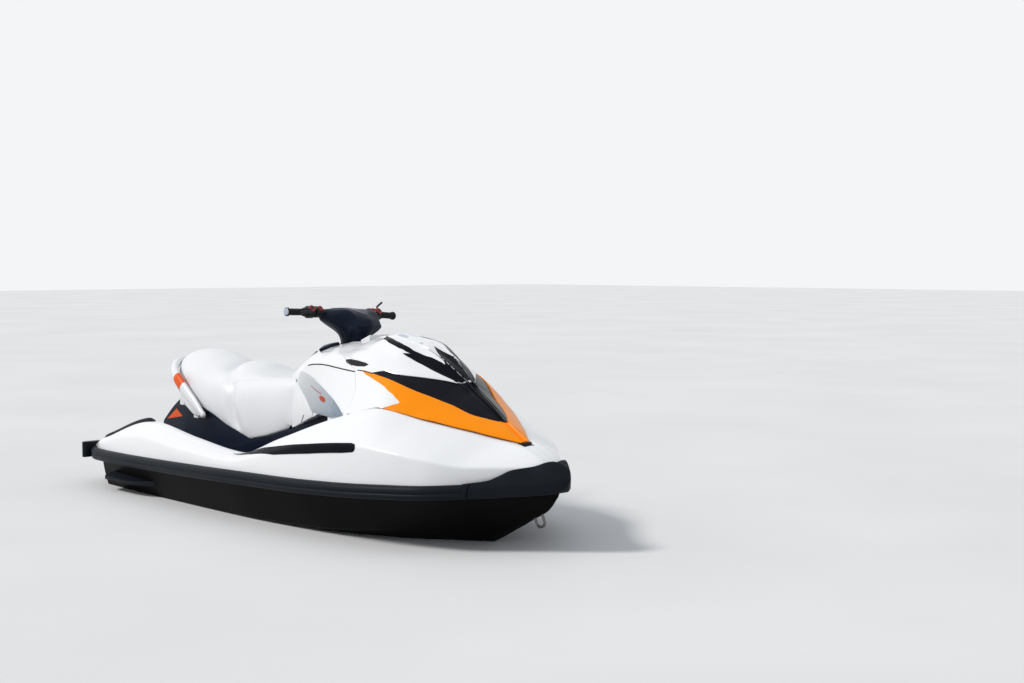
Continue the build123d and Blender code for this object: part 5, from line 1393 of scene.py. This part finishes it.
def make_handle():
    """A rounded bail from one side of the pedestal round behind the seat to the other, on two webs."""
    path = smooth_path(HANDLE_RUN + flipped(HANDLE_RUN, 1), 14.0)
    xs, *sizes = np.array(HANDLE_SIZES[::-1], float).T
    radii = np.stack([np.interp(path[:, 0], xs, size) for size in sizes], axis=1)
    share = np.linspace(0, 1, len(path))
    near = (share > BAND_SHARE[0]) & (share < BAND_SHARE[1])
    pieces = [swept("grab_bail", path, radii, 24, HANDLE_UP)]
    bands = []
    for side, _ in SIDES:
        pieces.append(soften(prism("web", WEB_OUTLINE, side * WEB_INNER, side * WEB_OUTER), 4.0, 50.0, 3))
        for (aft_x, low_z), (front_x, high_z) in FOOT_BLOCKS:
            low, high = (aft_x, side * FOOT_INNER, low_z), (front_x, side * FOOT_OUTER, high_z)
            pieces.append(block("pad", low, high))
        part = path[near] * [1, -side, 1]
        bands.append(swept("band", part, radii[near] + BAND_LIFT, 24, HANDLE_UP, domed=False))
    finished(joined("grab_handle_shell", pieces), "white_plastic", "craft", ["grab_handle"], 40.0)
    finished(joined("grab_handle_bands", bands), "mark_orange", "craft", (), 40.0)


def make_pads():
    rows = columns(DECK, spaced(PAD_RUN, 20.0))
    share = np.linspace(0, 1, len(rows))
    radii = PAD_R * np.clip(np.minimum(share, 1 - share) * 14, 0.25, 1)[:, None] * np.ones(2)
    for side, name in SIDES:
        path = [(row.x, side * (row.edge_y - PAD_INSET), row.edge_z + PAD_LIFT) for row in rows]
        finished(swept(f"gunwale_pad_{name}", path, radii, 16), "rail_black", "craft", (), 50.0)


# Bars, drawn in the frame of the steering axis with the bars straight: z runs along the axis

Shroud = namedtuple("Shroud", "z back_x back_y tip_x tip_y crease_x crease_y front_x")
SHROUD = [
    Shroud(-20, -64, 46, 0, 62, 56, 46, 78),
    Shroud(12, -60, 46, 4, 64, 72, 56, 92),
    Shroud(30, -58, 48, 6, 68, 100, 78, 116),
    Shroud(46, -58, 52, 6, 76, 116, 88, 132),
    Shroud(70, -62, 70, 2, 96, 112, 88, 132),
    Shroud(91, -66, 100, -6, 124, 108, 88, 120),
    Shroud(110, -62, 140, -14, 158, 102, 90, 102),
    Shroud(128, -58, 166, -22, 178, 92, 94, 80),
    Shroud(150, -50, 170, -26, 180, 56, 100, 46),
    Shroud(166, -40, 150, -28, 164, 10, 90, 16),
    Shroud(174, -34, 112, -30, 124, -16, 70, -4),
]
SHROUD_BREAKS = [-20, 12, 46, 91, 128, 150, 166, 174]
SHROUD_RADII = [14, 9, 13, 22, 30, 22, 13, 9]
PAD_TOP = [(-24, 92), (8, 102), (50, 74), (86, 40), (106, 0)]
PANEL_LIFT = 2.4
BAR_LINE = [(0, 0), (105, 0), (205, -36), (382, -48)]   # the bar in plan: pairs of y and x
BAR_Z = 158.0
GRIP_LONG, GRIP_R, FLANGE_R, GRIP_RIBS = 112.0, 16.5, 21.0, 13
CAP_PROFILE = [(0, 16.5), (2.4, 16.5), (4, 14.5), (4.4, 6), (3.2, 5), (3.2, 0.5)]
SHROUD_SEAMS = [[(-20, -136, 166), (10, -150, 152), (24, -150, 128), (24, -138, 108)],
                [(0, -84, 170), (48, -86, 148), (84, -60, 124), (118, -36, 92), (130, -30, 64)]]
SHROUD_CROWN = [(0.9, 2.2), (0.7, 3.6), (0.4, 4.4), (0.08, 4.6)]   # pairs of share of the top and rise
SWITCH_LOBES = [(238.0, 30.0, 40.0), (190.0, 28.0, 46.0)]          # y, radius and length
SWITCH_BUTTONS = [(238.0, 17.0, 26.0), (190.0, 13.0, 25.0)]        # y, radius and distance from the bar
NECK_Y, NECK_R, NECK_HALF = 214.0, 17.0, 40.0
SWITCH_FACE = (0.90, 0.0, 0.44)   # the way that the buttons look


def on_bars(piece):
    """Puts a piece drawn in the steering frame in its place, turned with the bars."""
    piece.data.transform(STEER_FRAME @ Matrix.Rotation(STEER_REST, 4, "Z"))
    return piece


def make_shroud():
    grid = []
    for row in columns(SHROUD, spaced(SHROUD_BREAKS, 6.0)):
        half = [(row.front_x, 0), (row.crease_x, row.crease_y), (row.tip_x, row.tip_y),
                (row.back_x, row.back_y), (row.back_x - 4, 0)]
        shape = rounded(mirrored_plan(half)[:-1], SHROUD_RADII, corner=6, run=4, closed=True,
                        bulges=[0, -2, -3, 0, 0, -3, -2, 0])
        grid.append([(x, y, row.z) for x, y in shape])
    top = np.array(grid[-1])
    middle = top.mean(0)
    grid += [middle + (top - middle) * share + np.array([0, 0, rise]) for share, rise in SHROUD_CROWN]
    shroud = tube_grid("bar_shroud", np.array(grid))
    tree = skin(shroud)
    outline = smooth_path([(x, y, 170) for x, y in mirrored_plan(PAD_TOP)], 8.0, closed=True)
    panel = laid("bar_panel", outline[:-1], tree, DOWN, 7.0, PANEL_LIFT, 1.0)
    seams = [bead("seam", flipped(run, side), tree, 2.2, 0.6) for side, _ in SIDES for run in SHROUD_SEAMS]
    finished(on_bars(shroud), "navy_plastic", "steering", ["handlebar_pad"], 38.0)
    # the top panel's pale plum colour is a painted sky reflection
    finished(on_bars(soften(panel, 1.0, 50.0)), "pad_plum", "steering", (), 38.0)
    finished(on_bars(joined("bar_seams", seams)), "seam_dark", "steering", (), 38.0)


def mirrored_plan(half):
    """A whole outline in plan from its port half, which ends on the middle line."""
    return half + [(x, -y) for x, y in half[-2::-1]]


def bar_place(y, side):
    """A place on the bar's middle line, its distance to the side being y."""
    return np.array([np.interp(y, *zip(*BAR_LINE)), side * y, BAR_Z])


def grip_line(side):
    """The bar's end on one side, and the direction out along its grip."""
    knee, end = (bar_place(y, side) for y, _ in BAR_LINE[2:])
    return end, unit(end - knee)


def make_bar_ends():
    profile = [(0, FLANGE_R - 3), (1.5, FLANGE_R), (5, FLANGE_R), (7, GRIP_R)]
    pitch = (GRIP_LONG - 18) / GRIP_RIBS
    for k in range(GRIP_RIBS):
        at = 8 + k * pitch
        profile += [(at, GRIP_R), (at + pitch * 0.62, GRIP_R), (at + pitch * 0.70, GRIP_R - 1.6),
                    (at + pitch * 0.92, GRIP_R - 1.6)]
    profile += [(GRIP_LONG - 10, GRIP_R), (GRIP_LONG - 8, FLANGE_R), (GRIP_LONG - 2, FLANGE_R),
                (GRIP_LONG, FLANGE_R - 2)]
    for side, name in SIDES:
        end, out = grip_line(side)
        grip = on_bars(turned(f"grip_rubber_{name}", end - out * GRIP_LONG, out, profile, 40))
        finished(grip, "grip_rubber", "steering", [f"grip_{name}"], 34.0)
        cap = on_bars(turned(f"grip_cap_{name}", end - out, out, CAP_PROFILE, 36))
        finished(cap, "badge_blue", "steering", (), 40.0)


def make_controls():
    """A switch housing on each bar, with red-ringed buttons."""
    face = unit(np.array(SWITCH_FACE))
    for side, name in SIDES:
        _, out = grip_line(side)
        shells, buttons, rings = [], [], []
        for y, radius, long in SWITCH_LOBES:
            rise = [(0, radius - 9), (2, radius - 4), (6, radius)]
            profile = rise + [(long - along, r) for along, r in rise[::-1]]
            shells.append(turned("lobe", bar_place(y, side) - out * long / 2, out, profile, 32))
        neck = bar_place(NECK_Y, side) - out * NECK_HALF
        shells.append(turned("neck", neck, out, [(0, NECK_R), (2 * NECK_HALF, NECK_R)], 28))
        for y, radius, reach in SWITCH_BUTTONS:
            base = bar_place(y, side) + face * reach
            bore = radius - 4.2
            ring = [(0, radius), (5, radius), (6.5, radius - 1.5), (6.5, radius - 4), (4.5, bore)]
            rings.append(turned("ring", base, face, ring, 32))
            button = [(0, bore), (5.6, radius - 4.4), (6.2, radius - 6), (6.2, 0.5)]
            buttons.append(turned("button", base, face, button, 28))
        housing = on_bars(joined(f"switch_housing_{name}", shells))
        finished(housing, "black_plastic", "steering", [f"switch_pod_{name}"], 34.0)
        finished(on_bars(joined(f"switch_rings_{name}", rings)), "button_red", "steering")
        finished(on_bars(joined(f"switch_buttons_{name}", buttons)), "black_plastic", "steering")


# Gauge face, and the ribs of the mats

# Two corners of each mat's ribs
MAT_RIBS = {"rear": ((-1618, -350, 210.8), (-1302, 350, 212.4)),
            "left": ((-905, 242, 75.8), (300, 384, 77.4)),
            "right": ((-905, -384, 75.8), (300, -242, 77.4))}
RIB_WIDE, RIB_PITCH = 11.0, 20.0
FACE_CENTRE = (371.0, 0.0, 880.0)
FACE_LONG, FACE_WIDE = 28.0, 50.0
TICKS, TICK_START, TICK_TURN = 9, 200.0, 27.5
TICK_INNER, TICK_OUTER, FACE_FLATNESS = 33.0, 41.0, 0.52
NEEDLE = [(365.0, 0.0, 880.0), (384.0, 14.0, 880.0)]


def make_gauge_face():
    outline = ellipse(FACE_CENTRE, FACE_LONG, FACE_WIDE)
    face = laid("gauge_face", outline, skin(NODES["gauge"]), DOWN, 7.0, 1.2, 1.5)
    finished(face, "gauge_glass", "craft")
    shown = skin(face)
    x, _, z = FACE_CENTRE
    marks = []
    for k in range(TICKS):
        turn = math.radians(TICK_START - TICK_TURN * k)
        tick = [(x + radius * FACE_FLATNESS * math.sin(turn), radius * math.cos(turn), z)
                for radius in (TICK_INNER, TICK_OUTER)]
        marks.append(bead("tick", tick, shown, 1.8, 0.5, DOWN, 4.0))
    marks.append(bead("needle", NEEDLE, shown, 1.6, 0.6, DOWN, 4.0))
    finished(joined("gauge_marks", marks), "badge_blue", "craft", (), 60.0)


def make_mat_ribs():
    for name, ((aft_x, low_y, low_z), (front_x, high_y, high_z)) in MAT_RIBS.items():
        count = int((high_y - low_y - RIB_WIDE) // RIB_PITCH) + 1
        starts = [low_y + RIB_PITCH * k for k in range(count)]
        ribs = [block("rib", (aft_x, y, low_z), (front_x, y + RIB_WIDE, high_z)) for y in starts]
        finished(soften(joined(f"mat_ribs_{name}", ribs), 0.8, 50.0, 1), "mat_foam", "craft", (), 40.0)


# Pieces of the frame that are shown as they are

CAD_FINISH = {
    "mat_foam": ["boarding_mat", "footwell_mat_left", "footwell_mat_right"],
    "black_plastic": ["glovebox_lid", "storage_bin", "drain_plugs", "throttle_lever", "reverse_lever"],
    "white_plastic": ["gauge"],
    "bar_steel": ["handlebar"],
    "eye_steel": ["bow_eye"],
    "jet_metal": ["stern_eyes", "pump_venturi"],
    "jet_plastic": ["pump_housing", "steering_nozzle", "reverse_bucket", "ride_plate", "intake_grate",
                    "intake_duct"],
    "impeller_steel": ["impeller", "drive_shaft"],
    "engine_grey": ["engine_block"],
}


def paint_cad():
    for material, names in CAD_FINISH.items():
        for name in names:
            data = NODES[name].data
            data.materials.clear()
            data.materials.append(MATERIALS[material])


# Floor and light

SUN_PLACE = (-2.6, -5.6, 6.0)
SUN_STRENGTH, SUN_ANGLE, SUN_COLOUR = 2.16, 12.0, (1.0, 0.975, 0.94)
SKY_LIGHT, SKY_COLOUR, SKY_SHOWN = 0.60, (0.88, 0.92, 0.97), (0.90, 0.915, 0.93)
FLOOR_LIGHT, FLOOR_SHOWN = 0.46, 0.76
FLOOR_HALF = 60000.0


def seen_or_lit(tree):
    """One for rays from the camera, a reflection or a refraction, and zero for those that only light."""
    path = tree.nodes.new("ShaderNodeLightPath")
    total = path.outputs["Is Camera Ray"]
    for name in ("Is Glossy Ray", "Is Transmission Ray"):
        add = tree.nodes.new("ShaderNodeMath")
        add.operation = "MAXIMUM"
        tree.links.new(total, add.inputs[0])
        tree.links.new(path.outputs[name], add.inputs[1])
        total = add.outputs[0]
    return total


def make_floor():
    n = Nodes("floor_pale")
    seen = seen_or_lit(n.tree)
    patches = n.spread(n.noise(0.5, 3.0), 0.96, 1.03, 0.3, 0.7)
    level = n.math("MULTIPLY", n.spread(seen, FLOOR_LIGHT, FLOOR_SHOWN), patches)
    grey = n.new("ShaderNodeCombineColor")
    for name, share in (("Red", 0.985), ("Green", 0.99), ("Blue", 1.0)):
        n.link(n.math("MULTIPLY", level, share), grey.inputs[name])
    n.link(grey.outputs["Color"], n.shader.inputs["Base Color"])
    n.set(Roughness=0.75, Specular_IOR_Level=0.2)
    corners = [(a * FLOOR_HALF, b * FLOOR_HALF, 0) for a, b in ((-1, -1), (1, -1), (1, 1), (-1, 1))]
    floor = add_object("floor", corners, [(0, 1, 2, 3)])
    floor.data.materials.append(n.material)


def make_world():
    world = bpy.data.worlds.new("world")
    world.use_nodes = True
    tree = world.node_tree
    shown = tree.nodes["Background"]
    shown.inputs["Color"].default_value = (*SKY_SHOWN, 1)
    shown.inputs["Strength"].default_value = 1.0
    light = tree.nodes.new("ShaderNodeBackground")
    light.inputs["Color"].default_value = (*SKY_COLOUR, 1)
    light.inputs["Strength"].default_value = SKY_LIGHT
    mix = tree.nodes.new("ShaderNodeMixShader")
    tree.links.new(seen_or_lit(tree), mix.inputs["Fac"])
    tree.links.new(light.outputs["Background"], mix.inputs[1])
    tree.links.new(shown.outputs["Background"], mix.inputs[2])
    tree.links.new(mix.outputs["Shader"], tree.nodes["World Output"].inputs["Surface"])
    bpy.context.scene.world = world


def make_sun():
    data = bpy.data.lights.new("sun", "SUN")
    data.energy = SUN_STRENGTH
    data.angle = math.radians(SUN_ANGLE)
    data.color = SUN_COLOUR
    lamp = bpy.data.objects.new("sun", data)
    lamp.location = SUN_PLACE
    lamp.rotation_euler = (-Vector(SUN_PLACE)).to_track_quat("-Z", "Y").to_euler()
    bpy.context.scene.collection.objects.link(lamp)
    bpy.context.scene.view_settings.view_transform = "Standard"


make_camera()
paint_cad()
make_deck()
make_hull()
make_rails()
make_bow_bumper()
make_stern_bumpers()
make_sponsons()
make_hood()
make_console()
make_fins()
make_seat_front()
make_seat()
make_pedestal()
make_graphics()
make_handle()
make_pads()
make_shroud()
make_bar_ends()
make_controls()
make_gauge_face()
make_mat_ribs()
make_floor()
make_world()
make_sun()
